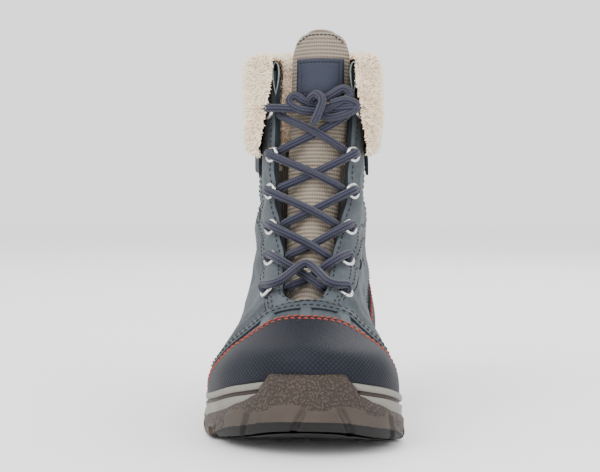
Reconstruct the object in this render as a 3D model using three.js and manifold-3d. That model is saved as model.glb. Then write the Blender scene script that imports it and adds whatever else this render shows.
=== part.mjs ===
// A child's right snow boot: lugged rubber outsole with a bumper over the toe and one over the heel, light
// midsole, hollow lasted upper with stitched overlays, a cuff of sheepskin turned down outside the collar,
// tongue, webbing pull loop, six pairs of eyelets and a round lace.
// Millimetres, +Z up. The origin is on the floor under the middle of the heel, the toe points to -Y, and
// the inner (big toe) side of the foot is +X.

import * as THREE from "three";
import { mergeVertices } from "three/addons/utils/BufferGeometryUtils.js";
import Module from "manifold-3d";

const wasm = await Module();
wasm.setup();

// Driving dimensions of the sole and the last.
const SOLE_LENGTH = 236;
const HEEL_BACK = 30; // from the origin back to the end of the heel
const BALL_WIDTH = 82; // of the lasted upper, under the overlays
const HEEL_WIDTH = 64.5;
const SHAFT_WIDTH = 51;
const SHAFT_HEIGHT = 187; // floor to the fold of the collar, at the back
const COLLAR_DROP = 13; // the fold is this much lower at the front
const HEEL_SEAT = 30.5; // top of the midsole at the heel
const BALL_SEAT = 17.5;
const TOE_SEAT = 33.5;
const TOE_SPRING = 12;
const ARCH_RISE = 4.5;
const WALL = 2.4;
const FIT_GAP = 0.3; // between pieces that touch

// Sole details.
const OUTSOLE_HEIGHT = 9;
const SOLE_LEDGE = 2.6; // the sole stands this far outside the upper
const OUTSOLE_LEDGE = 0.9; // and the outsole this far outside the midsole
const EDGE_ROUND = 3;
const BEAD_HEIGHT = 3;
const GROOVE_HEIGHT = 1.8;
const GROOVE_DEPTH = 1.3;
const LUG_DEPTH = 4.4;
const LUG_GROOVE = 4.2;
const BUMPER_THICKNESS = 2;
const TOE_BUMPER_TOP = 37.5;
const TOE_BUMPER_WIDTH = 33; // at its top
const TOE_BUMPER_FOOT = 43; // at its shoulder
const HEEL_BUMPER_WIDTH = 29;
const HEEL_BUMPER_FOOT = 58;
const INSOLE_THICKNESS = 3.5;

// Overlays of the upper.
const OVERLAY = 1.2;
const RIDGE_HEIGHT = 0.9;
const RIDGE_WIDTH = 4;
const EYESTAY_WIDTH = 12;
const STRIP_WIDTH = 8.5;
const STRAP_WIDTH = 25;
const STRAP_THICKNESS = 1.6;
const LOOP_WIDTH = 28;
const LOOP_HEIGHT = 24;
const LOOP_DEPTH = 10;

// Cuff.
const CUFF_LEATHER = 1.5;
const FLEECE_DEPTH = 5.6;
const FLEECE_LINING = 6.2; // inside the shaft
const LOCK_SIZE = 4;
const LOCKS_AROUND = 30;

// Tongue, eyelets and lace.
const TONGUE_WIDTH = 30;
const TONGUE_THICKNESS = 4.2;
const TONGUE_SETBACK = 7;
const TONGUE_LEAN = 3; // its top leans this much to the inner side
const TONGUE_BOW = 5.5; // its middle stands this much before its edges
const TONGUE_TOP = 195;
const LABEL_HEIGHT = 19;
const LABEL_WIDTH = 24;
const LABEL_THICKNESS = 0.9;
const EYELET_RADIUS = 4.3;
const EYELET_BARREL = 2.9;
const EYELET_BORE = 2.4;
const EYELET_FLANGE = 0.8;
const EYELET_SIDES = 6;
const HOLE_DEPTH = 16; // of the cutter for an eyelet
const LACE_DIAMETER = 4.2;
const LACE_SIDES = 6;

const AROUND = 24; // facets round a section of the upper
const SOLE_AROUND = 40;
const FLAT_ENOUGH = 0.1; // facets closer than this to one plane are joined

// Sections of the last, from the feather edge up to the fold of the collar. Each is a closed curve whose
// back lies at back, backUp and whose front lies at front, frontUp. back and front are shares of
// SOLE_LENGTH, backUp and frontUp shares of the rise from the midsole to the fold. heel, waist, ball and
// toe are the fullness of the curve there, heel as a share of HEEL_WIDTH and the others of BALL_WIDTH,
// which both give way to SHAFT_WIDTH by the share in shaft. splay moves the fullness outwards, and swing
// the toe inwards, as shares of BALL_WIDTH.
const COLUMNS = "back backUp front frontUp heel waist ball toe shaft splay swing".split(" ");
const SECTIONS = [
  [0.027, 0.0, 0.97, 0.0, 0.86, 0.365, 0.568, 0.72, 0, 0.045, 0.13],
  [0.016, 0.06, 0.98, 0.039, 0.87, 0.38, 0.558, 0.7, 0, 0.04, 0.13],
  [0.013, 0.125, 0.971, 0.078, 0.84, 0.37, 0.49, 0.62, 0, 0.02, 0.125],
  [0.018, 0.2, 0.939, 0.11, 0.79, 0.38, 0.415, 0.47, 0.1, 0.01, 0.115],
  [0.029, 0.278, 0.872, 0.141, 0.74, 0.4, 0.368, 0.43, 0.25, 0.005, 0.1],
  [0.04, 0.355, 0.79, 0.175, 0.71, 0.415, 0.385, 0.46, 0.42, 0, 0.09],
  [0.048, 0.43, 0.72, 0.232, 0.69, 0.445, 0.415, 0.53, 0.58, 0, 0.084],
  [0.052, 0.507, 0.655, 0.3, 0.67, 0.48, 0.455, 0.61, 0.74, 0, 0.077],
  [0.054, 0.584, 0.605, 0.39, 0.65, 0.51, 0.495, 0.69, 0.88, 0, 0.07],
  [0.055, 0.66, 0.57, 0.5, 0.64, 0.52, 0.52, 0.76, 1, 0, 0.065],
  [0.055, 0.742, 0.547, 0.63, 0.63, 0.52, 0.53, 0.8, 1, 0, 0.062],
  [0.054, 0.826, 0.533, 0.765, 0.63, 0.52, 0.53, 0.82, 1, 0, 0.062],
  [0.052, 0.915, 0.524, 0.89, 0.63, 0.52, 0.53, 0.82, 1, 0, 0.062],
  [0.05, 1.0, 0.519, 1.0, 0.63, 0.52, 0.53, 0.82, 1, 0, 0.062],
].map((row) => Object.fromEntries(COLUMNS.map((column, k) => [column, row[k]])));
const TOP_SECTION = SECTIONS.length - 1;
const CUFF_SECTION = 9.6; // the turned-down cuff ends at this section
const FLEECE_SECTION = 10.45; // and its fleece at this one
const LINING_SECTION = 9.9;
const BALL_AT = 0.6;

// Height of the midsole's top along the foot: at is a share of SOLE_LENGTH, level a share of the step from
// BALL_SEAT up to HEEL_SEAT behind the ball, and up to TOE_SEAT before it.
const SEAT = [
  { at: 0.0, level: 1.0 },
  { at: 0.12, level: 0.95 },
  { at: 0.28, level: 0.66 },
  { at: 0.45, level: 0.2 },
  { at: 0.6, level: 0.0 },
  { at: 0.7, level: 0.05 },
  { at: 0.81, level: 0.31 },
  { at: 0.92, level: 0.75 },
  { at: 1.0, level: 1.03 },
];
// Underside: lift is a share of ARCH_RISE behind the ball and of TOE_SPRING before it.
const UNDERSIDE = [
  { at: 0.0, lift: 0.35 },
  { at: 0.035, lift: 0.0 },
  { at: 0.29, lift: 0.0 },
  { at: 0.345, lift: 1.0 },
  { at: 0.42, lift: 1.0 },
  { at: 0.475, lift: 0.0 },
  { at: 0.725, lift: 0.0 },
  { at: 0.82, lift: 0.2 },
  { at: 0.92, lift: 0.58 },
  { at: 1.0, lift: 1.0 },
];

// Top of the outsole's side: a share of OUTSOLE_HEIGHT above its underside.
const RAND = [
  { at: 0.0, high: 1.0 },
  { at: 0.7, high: 0.95 },
  { at: 0.78, high: 1.15 },
  { at: 0.86, high: 1.5 },
  { at: 0.93, high: 2.0 },
  { at: 0.985, high: 2.65 },
  { at: 1.02, high: 2.7 },
];

// The throat: up is a share of the fold's height at the front, half its half width and middle its distance
// from the boot's middle plane to the inner side, as shares of SHAFT_WIDTH.
const THROAT = [
  { up: 0.36, half: 0.11, middle: 0.09 },
  { up: 0.368, half: 0.175, middle: 0.09 },
  { up: 0.385, half: 0.205, middle: 0.09 },
  { up: 0.465, half: 0.23, middle: 0.09 },
  { up: 0.552, half: 0.29, middle: 0.09 },
  { up: 0.655, half: 0.345, middle: 0.09 },
  { up: 0.759, half: 0.36, middle: 0.095 },
  { up: 0.9, half: 0.372, middle: 0.11 },
  { up: 1.15, half: 0.38, middle: 0.115 },
];
const CUFF_THROAT = [
  { up: 0.6, half: 0.6, middle: 0.095 },
  { up: 0.764, half: 0.53, middle: 0.1 },
  { up: 0.888, half: 0.445, middle: 0.11 },
  { up: 1.0, half: 0.395, middle: 0.115 },
  { up: 1.15, half: 0.39, middle: 0.115 },
];

// Eyelet pairs from the toe up: up is a share of the fold's height at the front, and out their distance
// from the throat's middle as a share of SHAFT_WIDTH.
const EYELETS = [
  { up: 0.386, out: 0.375 },
  { up: 0.467, out: 0.372 },
  { up: 0.553, out: 0.39 },
  { up: 0.655, out: 0.415 },
  { up: 0.762, out: 0.41 },
  { up: 0.888, out: 0.47 },
];
const TOP_PAIR = EYELETS.length - 1;

// Helpers for tables and curves.

const along = (share) => share * SOLE_LENGTH;
const foldFront = SHAFT_HEIGHT - COLLAR_DROP;
const clamp = (x, low, high) => Math.min(high, Math.max(low, x));
const ease = (x) => x * x * (3 - 2 * x);
const toY = (t) => HEEL_BACK - t;

// The value of one column of a table at x, with smooth monotone steps between its rows.
function lookUp(table, key, column, x) {
  const last = table.length - 1;
  if (x <= table[0][key]) return table[0][column];
  if (x >= table[last][key]) return table[last][column];
  let i = 0;
  while (table[i + 1][key] < x) i += 1;
  const slope = (k) => (table[k + 1][column] - table[k][column]) / (table[k + 1][key] - table[k][key]);
  const tangent = (k) => {
    if (k === 0 || k === last) return 0;
    const [before, after] = [slope(k - 1), slope(k)];
    return before * after <= 0 ? 0 : (2 * before * after) / (before + after);
  };
  const step = table[i + 1][key] - table[i][key];
  const s = (x - table[i][key]) / step;
  const [a, b] = [table[i][column], table[i + 1][column]];
  const [ta, tb] = [tangent(i) * step, tangent(i + 1) * step];
  return a + s * (ta + s * (3 * (b - a) - 2 * ta - tb + s * (ta + tb - 2 * (b - a))));
}

// The row of SECTIONS at a height v that may lie between two rows.
function sectionAt(v) {
  const i = clamp(Math.floor(v), 0, TOP_SECTION - 1);
  const s = v - i;
  const rows = [i - 1, i, i + 1, i + 2].map((k) => SECTIONS[clamp(k, 0, TOP_SECTION)]);
  const row = {};
  for (const column of Object.keys(SECTIONS[0])) {
    const [p, q, r, u] = rows.map((one) => one[column]);
    row[column] = q + 0.5 * s * (r - p + s * (2 * p - 5 * q + 4 * r - u + s * (3 * (q - r) + u - p)));
  }
  return row;
}

const seatHeight = (t) => {
  const high = t < along(BALL_AT) ? HEEL_SEAT : TOE_SEAT;
  return BALL_SEAT + (high - BALL_SEAT) * lookUp(SEAT, "at", "level", t / SOLE_LENGTH);
};
const undersideHeight = (t) => {
  const high = t < along(BALL_AT) ? ARCH_RISE : TOE_SPRING;
  return high * lookUp(UNDERSIDE, "at", "lift", t / SOLE_LENGTH);
};

// The last. v is the height in sections and angle goes round from the back (0) over the outer side to the
// front (pi) and back over the inner side.
function lastPoint(v, angle) {
  const row = sectionAt(clamp(v, 0, TOP_SECTION));
  const a = (1 - Math.cos(angle)) / 2;
  const outer = Math.sin(angle) >= 0;
  const ballWidth = BALL_WIDTH + (SHAFT_WIDTH - BALL_WIDTH) * row.shaft;
  const heelWidth = HEEL_WIDTH + (SHAFT_WIDTH - HEEL_WIDTH) * row.shaft;
  const splay = outer ? row.splay : -row.splay;
  const fullness = [
    { at: 0, full: row.heel * heelWidth },
    { at: 0.36, full: (row.waist + 0.5 * splay) * ballWidth },
    { at: 0.7, full: (row.ball + splay) * ballWidth },
    { at: 1, full: row.toe * ballWidth },
  ];
  const half = lookUp(fullness, "at", "full", a) * Math.abs(Math.sin(angle));
  const x = row.swing * BALL_WIDTH * ease(clamp((a - 0.35) / 0.65, 0, 1)) + (outer ? -half : half);
  const t = along(row.back + (row.front - row.back) * a);
  const backZ = HEEL_SEAT + row.backUp * (SHAFT_HEIGHT - HEEL_SEAT);
  const frontZ = TOE_SEAT + row.frontUp * (foldFront - TOE_SEAT);
  const fade = clamp(1 - v / 5.5, 0, 1) ** 1.4;
  const sag = seatHeight(t) - (HEEL_SEAT + (TOE_SEAT - HEEL_SEAT) * a);
  return new THREE.Vector3(x, toY(t), backZ + (frontZ - backZ) * a + fade * sag);
}

function lastNormal(v, angle) {
  const [dv, da] = [0.04, 0.02];
  const low = clamp(v, dv, TOP_SECTION - dv);
  const up = lastPoint(low + dv, angle).sub(lastPoint(low - dv, angle));
  const round = lastPoint(low, angle + da).sub(lastPoint(low, angle - da));
  return round.cross(up).normalize();
}

function surface(v, angle, offset = 0, rise = 0) {
  const p = lastPoint(v, angle).addScaledVector(lastNormal(v, angle), offset);
  p.z += rise;
  return p;
}

// Solids.

function solid(points, triangles) {
  const flat = new Float32Array(points.flatMap((p) => [p.x, p.y, p.z]));
  const geometry = new THREE.BufferGeometry()
    .setAttribute("position", new THREE.BufferAttribute(flat, 3))
    .setIndex(triangles);
  return solidOf(geometry);
}

function solidOf(source) {
  const geometry = source.index ? source.clone() : source;
  geometry.deleteAttribute("normal");
  geometry.deleteAttribute("uv");
  const merged = mergeVertices(geometry, 1e-4);
  const index = [...merged.index.array];
  const make = (triVerts) =>
    new wasm.Manifold(
      new wasm.Mesh({
        numProp: 3,
        vertProperties: merged.attributes.position.array,
        triVerts: new Uint32Array(triVerts),
      }),
    );
  const made = make(index);
  return made.volume() < 0 ? make(index.reverse()) : made;
}

// A closed solid through rings of equal count, each with mirrored places i and n - i, which the two end
// caps join.
function loft(rings) {
  const n = rings[0].length;
  const triangles = [];
  for (let k = 0; k + 1 < rings.length; k += 1) {
    for (let i = 0; i < n; i += 1) {
      const [a, b] = [k * n + i, k * n + ((i + 1) % n)];
      triangles.push(a, b, a + n, b, b + n, a + n);
    }
  }
  const cap = (start, turn) => {
    for (let i = 0; i < n / 2; i += 1) {
      const [a, b] = [start + i, start + i + 1];
      const [c, d] = [start + ((n - i) % n), start + ((n - i - 1) % n)];
      if (i > 0) triangles.push(...(turn ? [a, b, c] : [a, c, b]));
      if (b !== d) triangles.push(...(turn ? [b, d, c] : [b, c, d]));
    }
  };
  cap(0, false);
  cap((rings.length - 1) * n, true);
  return solid(rings.flat(), triangles);
}

const angles = (count) => Array.from({ length: count }, (_, i) => (2 * Math.PI * i) / count);
const ring = (v, offset, rise = 0) => angles(AROUND).map((angle) => surface(v, angle, offset, rise));

// A closed band through rings of equal count: the last one joins the first.
function band(rings) {
  const n = rings[0].length;
  const triangles = [];
  rings.forEach((_, k) => {
    const next = ((k + 1) % rings.length) * n;
    for (let i = 0; i < n; i += 1) {
      const [a, b, c, d] = [k * n + i, k * n + ((i + 1) % n), next + i, next + ((i + 1) % n)];
      triangles.push(a, b, c, b, d, c);
    }
  });
  return solid(rings.flat(), triangles);
}

// The last's own form, grown by offset, from section low to section high, with straight ends down by drop
// and up by rise.
function form(offset, { low = 0, high = TOP_SECTION, drop = 0, rise = 0, steps = 11 } = {}) {
  const count = Math.max(2, Math.ceil((steps * (high - low)) / TOP_SECTION));
  const rings = [];
  if (drop > 0) rings.push(ring(low, offset, -drop));
  for (let k = 0; k <= count; k += 1) rings.push(ring(low + ((high - low) * k) / count, offset));
  if (rise > 0) rings.push(ring(high, offset, rise));
  return loft(rings);
}

// A prism from an outline of [y, z] places seen from the side, or [x, z] places seen from the front.
const REACH = 400;
function prism(outline, view, from = -REACH, to = REACH) {
  const shape = new THREE.Shape(outline.map(([a, b]) => new THREE.Vector2(a, b)));
  const geometry = new THREE.ExtrudeGeometry(shape, { depth: to - from, bevelEnabled: false });
  geometry.translate(0, 0, from);
  const turned =
    view === "side"
      ? new THREE.Matrix4().set(0, 0, 1, 0, 1, 0, 0, 0, 0, 1, 0, 0, 0, 0, 0, 1)
      : new THREE.Matrix4().set(1, 0, 0, 0, 0, 0, 1, 0, 0, 1, 0, 0, 0, 0, 0, 1);
  return solidOf(geometry.applyMatrix4(turned));
}

const side = (places) => prism(places.map(([t, z]) => [toY(t), z]), "side");
const spline = (places, count) =>
  new THREE.SplineCurve(places.map(([a, b]) => new THREE.Vector2(a, b)))
    .getPoints(count)
    .map((p) => [p.x, p.y]);

// The place on the front of the last, grown by lift, at width x and height z, with its outward normal.
function frontPlace(x, z, lift = 0) {
  const halve = (low, high, above) => {
    for (let k = 0; k < 30; k += 1) {
      const middle = (low + high) / 2;
      if (above(middle)) high = middle;
      else low = middle;
    }
    return (low + high) / 2;
  };
  const angleAt = (v) => halve(0.55 * Math.PI, 1.45 * Math.PI, (angle) => surface(v, angle, lift).x > x);
  const v = halve(2, TOP_SECTION, (one) => surface(one, angleAt(one), lift).z > z);
  const angle = angleAt(v);
  return { point: lastPoint(v, angle), normal: lastNormal(v, angle) };
}
const overFront = (x, z, lift) => {
  const { point, normal } = frontPlace(x, z, lift);
  return point.addScaledVector(normal, lift);
};

// Sole.

const soleAngles = angles(SOLE_AROUND);
function soleRing(ledge, height) {
  return soleAngles.map((angle) => {
    const p = lastPoint(0, angle);
    const next = lastPoint(0, angle + 0.02);
    const before = lastPoint(0, angle - 0.02);
    const out = new THREE.Vector3(before.y - next.y, next.x - before.x, 0).normalize();
    p.addScaledVector(out, -(SOLE_LEDGE + ledge));
    p.z = height(HEEL_BACK - p.y);
    return p;
  });
}
const outsoleTop = (t) => undersideHeight(t) * 0.75 + OUTSOLE_HEIGHT;
const randTop = (t) =>
  undersideHeight(t) * 0.75 + OUTSOLE_HEIGHT * lookUp(RAND, "at", "high", t / SOLE_LENGTH);

function midsole() {
  const top = (down) => (t) => seatHeight(t) - down;
  const lip = 0.5;
  const grooveAt = BEAD_HEIGHT + GROOVE_HEIGHT;
  return loft([
    soleRing(OUTSOLE_LEDGE - 0.4, (t) => outsoleTop(t) + FIT_GAP),
    soleRing(0.2, top(grooveAt + lip)),
    soleRing(-0.1, top(grooveAt)),
    soleRing(-GROOVE_DEPTH, top(grooveAt - lip)),
    soleRing(-GROOVE_DEPTH, top(BEAD_HEIGHT + lip)),
    soleRing(0, top(BEAD_HEIGHT)),
    soleRing(0, top(lip)),
    soleRing(-lip, top(0)),
  ]);
}

// The outsole's rand and one of its bumpers: a skin outside the midsole, cut to a trapezium over the toe or
// the heel, with the rand running down from it to the ball.
function bumper({ middle, top, width, foot, shoulder, lean, atToe }) {
  const block = loft([
    soleRing(OUTSOLE_LEDGE, (t) => undersideHeight(t) + EDGE_ROUND),
    soleRing(BUMPER_THICKNESS, () => shoulder - 4),
    soleRing(BUMPER_THICKNESS, () => top - 5),
    soleRing(BUMPER_THICKNESS - lean * 0.35, () => top - 2),
    soleRing(BUMPER_THICKNESS - lean, () => top),
  ]);
  const core = loft([
    soleRing(FIT_GAP + OUTSOLE_LEDGE - 0.4, outsoleTop),
    soleRing(FIT_GAP, (t) => seatHeight(t) - BEAD_HEIGHT),
    soleRing(FIT_GAP, (t) => seatHeight(t) + 4 * FIT_GAP),
  ]);
  const reach = atToe ? [-REACH, toY(along(0.86))] : [toY(along(0.2)), REACH];
  const low = OUTSOLE_HEIGHT / 2;
  const face = prism(
    [
      [middle - foot / 2, low],
      [middle + foot / 2, low],
      [middle + foot / 2, shoulder],
      [middle + width / 2, top + 1],
      [middle - width / 2, top + 1],
      [middle - foot / 2, shoulder],
    ],
    "front",
    ...reach,
  );
  const shares = [0.7, 0.74, 0.78, 0.82, 0.86, 0.9, 0.94, 0.985, 1.1];
  const crest = shares.map((share) => [along(share), randTop(along(share))]);
  const rand = side([[along(shares[0]), low], ...crest, [along(shares.at(-1)), low]]);
  return block
    .intersect(atToe ? face.add(rand) : face)
    .subtract(core)
    .subtract(form(OVERLAY + 2 * FIT_GAP, { drop: 4, high: 4 }));
}

function outsole() {
  const under = (up) => (t) => undersideHeight(t) + up;
  let made = loft([
    soleRing(OUTSOLE_LEDGE - EDGE_ROUND * 0.8, under(0)),
    soleRing(OUTSOLE_LEDGE, under(EDGE_ROUND)),
    soleRing(OUTSOLE_LEDGE, outsoleTop),
  ]);
  // Grooves across the tread, bent to a shallow vee, and one along the middle of the forefoot.
  const groove = (t, middle, turn, length) => {
    const block = new THREE.BoxGeometry(length, LUG_GROOVE, 2 * LUG_DEPTH);
    block.rotateZ(turn);
    block.translate(middle, toY(t), undersideHeight(t));
    return solidOf(block);
  };
  for (const share of [0.09, 0.19]) made = made.subtract(groove(along(share), 0, 0, 2 * HEEL_WIDTH));
  for (const share of [0.55, 0.64, 0.73, 0.82]) {
    for (const hand of [-1, 1]) {
      const half = BALL_WIDTH * 0.62;
      made = made.subtract(groove(along(share + 0.018), BALL_WIDTH * (0.04 + hand * 0.27), hand * 0.3, half));
    }
  }
  made = made.subtract(groove(along(0.925), BALL_WIDTH * 0.1, 0.9, BALL_WIDTH * 0.36));
  const toeBumper = {
    middle: BALL_WIDTH * SECTIONS[0].swing,
    top: TOE_BUMPER_TOP,
    width: TOE_BUMPER_WIDTH,
    foot: TOE_BUMPER_FOOT,
    shoulder: TOE_BUMPER_TOP - 8,
    lean: 3.4,
    atToe: true,
  };
  const heelBumper = {
    middle: 0,
    top: HEEL_SEAT + 0.4,
    width: HEEL_BUMPER_WIDTH,
    foot: HEEL_BUMPER_FOOT,
    shoulder: OUTSOLE_HEIGHT,
    lean: 0.6,
    atToe: false,
  };
  return made.add(bumper(toeBumper)).add(bumper(heelBumper));
}

const soleBlock = loft([soleRing(2, () => -20), soleRing(2, (t) => seatHeight(t) + FIT_GAP)]);

function insole() {
  const inside = -(WALL + FIT_GAP);
  const flat = (up) => ring(0, inside - 0.8).map((p) => p.setZ(seatHeight(HEEL_BACK - p.y) + up));
  return loft([flat(FIT_GAP), flat(FIT_GAP + INSOLE_THICKNESS)]);
}

// Upper.

// One edge of the throat seen from the front, moved outwards by out.
const throatEdge = (table, hand, out) =>
  table.map(({ up, half, middle }) => {
    const x = middle * SHAFT_WIDTH + hand * (half * SHAFT_WIDTH + out);
    return [x, up * foldFront];
  });
function throatCutter(table, grow = 0) {
  const edge = (hand) => throatEdge(table, hand, grow);
  return prism([...edge(1), ...edge(-1).reverse()], "front", -REACH, toY(along(0.4)));
}
const throatMiddle = (z) => lookUp(THROAT, "up", "middle", z / foldFront) * SHAFT_WIDTH;
const throatHalf = (z) => lookUp(THROAT, "up", "half", z / foldFront) * SHAFT_WIDTH;

const flangeFoot = (pair) => OVERLAY + (pair === TOP_PAIR ? CUFF_LEATHER + 4 * FIT_GAP : 3 * FIT_GAP);
const eyeletPlaces = EYELETS.flatMap(({ up, out }, pair) =>
  [-1, 1].map((hand) => {
    const z = up * foldFront;
    return { pair, hand, ...frontPlace(throatMiddle(z) + hand * out * SHAFT_WIDTH, z, flangeFoot(pair)) };
  }),
);
const towards = (normal) => new THREE.Quaternion().setFromUnitVectors(new THREE.Vector3(0, 1, 0), normal);
function placed(geometry, { point, normal }, lift = 0) {
  geometry.applyQuaternion(towards(normal));
  const p = point.clone().addScaledVector(normal, lift);
  return geometry.translate(p.x, p.y, p.z);
}
const HOLE_RADIUS = EYELET_BARREL + FIT_GAP;
const eyeletHoles = eyeletPlaces.map((place) =>
  solidOf(placed(new THREE.CylinderGeometry(HOLE_RADIUS, HOLE_RADIUS, HOLE_DEPTH, EYELET_SIDES), place)),
);
const withHoles = (made) => eyeletHoles.reduce((left, hole) => left.subtract(hole), made);

// Side views of the overlays' edges, as [share of SOLE_LENGTH, share of SHAFT_HEIGHT].
const sized = (places) => places.map(([t, z]) => [along(t), z * SHAFT_HEIGHT]);
const TOE_CAP_EDGE = sized([
  [0.815, 0.36],
  [0.81, 0.31],
  [0.785, 0.25],
  [0.74, 0.18],
  [0.68, 0.11],
  [0.64, 0.05],
]);
const STRIP_EDGE = sized([
  [0.752, 0.4],
  [0.748, 0.34],
  [0.722, 0.275],
  [0.672, 0.195],
  [0.605, 0.12],
  [0.57, 0.05],
]);
const COUNTER_EDGE = sized([
  [-0.05, 0.395],
  [0.06, 0.39],
  [0.15, 0.35],
  [0.23, 0.27],
  [0.275, 0.17],
  [0.29, 0.05],
]);
const QUARTER_LOW = sized([
  [-0.05, 0.445],
  [0.06, 0.435],
  [0.17, 0.375],
  [0.28, 0.285],
  [0.4, 0.205],
  [0.52, 0.16],
]);
const QUARTER_HIGH = sized([
  [0.58, 0.5],
  [0.4, 0.535],
  [0.2, 0.585],
  [-0.05, 0.625],
]);

const skin = (inner, outer) => form(outer).subtract(form(inner, { drop: 8, rise: 8 })).subtract(soleBlock);
const overlaySkin = skin(FIT_GAP, FIT_GAP + OVERLAY);
const beyond = (edge, corners) => side([...spline(edge, 14), ...corners]);

function toeCap() {
  const [top, bottom] = [TOE_CAP_EDGE[0], TOE_CAP_EDGE.at(-1)];
  return overlaySkin.intersect(beyond(TOE_CAP_EDGE, [[along(1.2), bottom[1]], [along(1.2), top[1]]]));
}

function heelCounter() {
  return overlaySkin.intersect(beyond(COUNTER_EDGE, [[-along(0.05), COUNTER_EDGE.at(-1)[1]]]));
}

const stripBack = (shift) => {
  const edge = spline(STRIP_EDGE, 12).map(([t, z]) => [t + shift, z]);
  return side([...edge, [along(1.2), edge.at(-1)[1]], [along(1.2), edge[0][1]]]);
};

function vampStrip() {
  const strip = stripBack(0).subtract(stripBack(STRIP_WIDTH));
  return overlaySkin.intersect(strip).subtract(throatCutter(THROAT, FIT_GAP));
}

// The outline of both eyestays seen from the front, widened by grow.
const eyestayOutline = (hand, grow) => {
  const edge = (out) => throatEdge(THROAT.slice(1), hand, out);
  return prism([...edge(0), ...edge(EYESTAY_WIDTH + grow).reverse()], "front", -REACH, toY(along(0.33)));
};

function eyestay(hand) {
  return withHoles(overlaySkin.intersect(eyestayOutline(hand, 0)).subtract(stripBack(-FIT_GAP)));
}

function quarter() {
  return overlaySkin
    .intersect(side([...spline(QUARTER_LOW, 12), ...spline(QUARTER_HIGH, 8)]))
    .subtract(eyestayOutline(-1, FIT_GAP))
    .subtract(eyestayOutline(1, FIT_GAP))
    .subtract(stripBack(-FIT_GAP))
    .subtract(throatCutter(THROAT, 1));
}

function upper() {
  const capEdge = spline(TOE_CAP_EDGE, 14).map(([t, z]) => [t - FIT_GAP, z]);
  const cap = side([...capEdge, [along(1.2), capEdge.at(-1)[1]], [along(1.2), capEdge[0][1]]]);
  const plug = stripBack(STRIP_WIDTH + FIT_GAP).subtract(cap);
  // A raised seam down the middle of the vamp and a pleat on each side of it.
  const [low, high] = [BALL_SEAT, 0.4 * SHAFT_HEIGHT];
  const ridge = (foot, top) =>
    prism(
      [
        [foot - RIDGE_WIDTH / 2, low],
        [foot + RIDGE_WIDTH / 2, low],
        [top + RIDGE_WIDTH / 2, high],
        [top - RIDGE_WIDTH / 2, high],
      ],
      "front",
      -REACH,
      toY(along(0.6)),
    );
  const middle = BALL_WIDTH * 0.08;
  const [near, far] = [BALL_WIDTH * 0.1, BALL_WIDTH * 0.42];
  const pleats = ridge(middle - far, middle - near).add(ridge(middle + far, middle + near));
  const ridges = ridge(middle, middle).add(pleats);
  const raised = form(RIDGE_HEIGHT, { high: 7 }).intersect(plug).intersect(ridges);
  const shell = form(0).add(raised).subtract(soleBlock);
  return withHoles(shell.subtract(form(-WALL, { drop: 12, rise: 12 })).subtract(throatCutter(THROAT)));
}

// Webbing strap up the back of the heel, and the pull loop above it.
const STRAP_FROM = 0.4 * SHAFT_HEIGHT;
const LOOP_TOP = 0.747 * SHAFT_HEIGHT;
function heelStrap() {
  const on = OVERLAY + 2 * FIT_GAP;
  const half = STRAP_WIDTH / 2;
  const outline = [
    [-half, STRAP_FROM + 0.6],
    [half, STRAP_FROM + 0.6],
    [half, LOOP_TOP],
    [-half, LOOP_TOP],
  ];
  return skin(on, on + STRAP_THICKNESS).intersect(prism(outline, "front", 0, REACH));
}

function shaftBack(z) {
  const levels = [...Array(120).keys()].map((k) => (k * TOP_SECTION) / 119);
  const v = levels.find((one) => lastPoint(one, 0).z >= z);
  return lastPoint(v, 0).y;
}

function pullLoop() {
  const seat = (z) => shaftBack(z) + OVERLAY + 4 * FIT_GAP + STRAP_THICKNESS;
  const [low, high] = [LOOP_TOP - LOOP_HEIGHT, LOOP_TOP];
  const path = new THREE.SplineCurve(
    [
      [seat(high), high],
      [seat(high) + 0.45 * LOOP_DEPTH, high - 0.08 * LOOP_HEIGHT],
      [seat(high) + 0.85 * LOOP_DEPTH, high - 0.35 * LOOP_HEIGHT],
      [seat(low) + LOOP_DEPTH, high - 0.75 * LOOP_HEIGHT],
      [seat(low) + 0.86 * LOOP_DEPTH, low + 0.04 * LOOP_HEIGHT],
      [seat(low) + 0.4 * LOOP_DEPTH, low],
      [seat(low) + 0.04 * LOOP_DEPTH, low + 0.1 * LOOP_HEIGHT],
    ].map(([y, z]) => new THREE.Vector2(y, z)),
  ).getPoints(20);
  const outside = path.map((p, i) => {
    const [before, after] = [path[Math.max(0, i - 1)], path[Math.min(path.length - 1, i + 1)]];
    const out = new THREE.Vector2(-(after.y - before.y), after.x - before.x).setLength(STRAP_THICKNESS);
    return [p.x + out.x, p.y + out.y];
  });
  const foot = [seat(low), low + 0.1 * LOOP_HEIGHT - 1];
  const shell = prism([...outside, foot], "side", -LOOP_WIDTH / 2, LOOP_WIDTH / 2);
  const gap = path.slice(1, -1).map((p) => [Math.max(p.x, seat(p.y) + STRAP_THICKNESS), p.y]);
  return shell.subtract(prism(gap, "side"));
}

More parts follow.
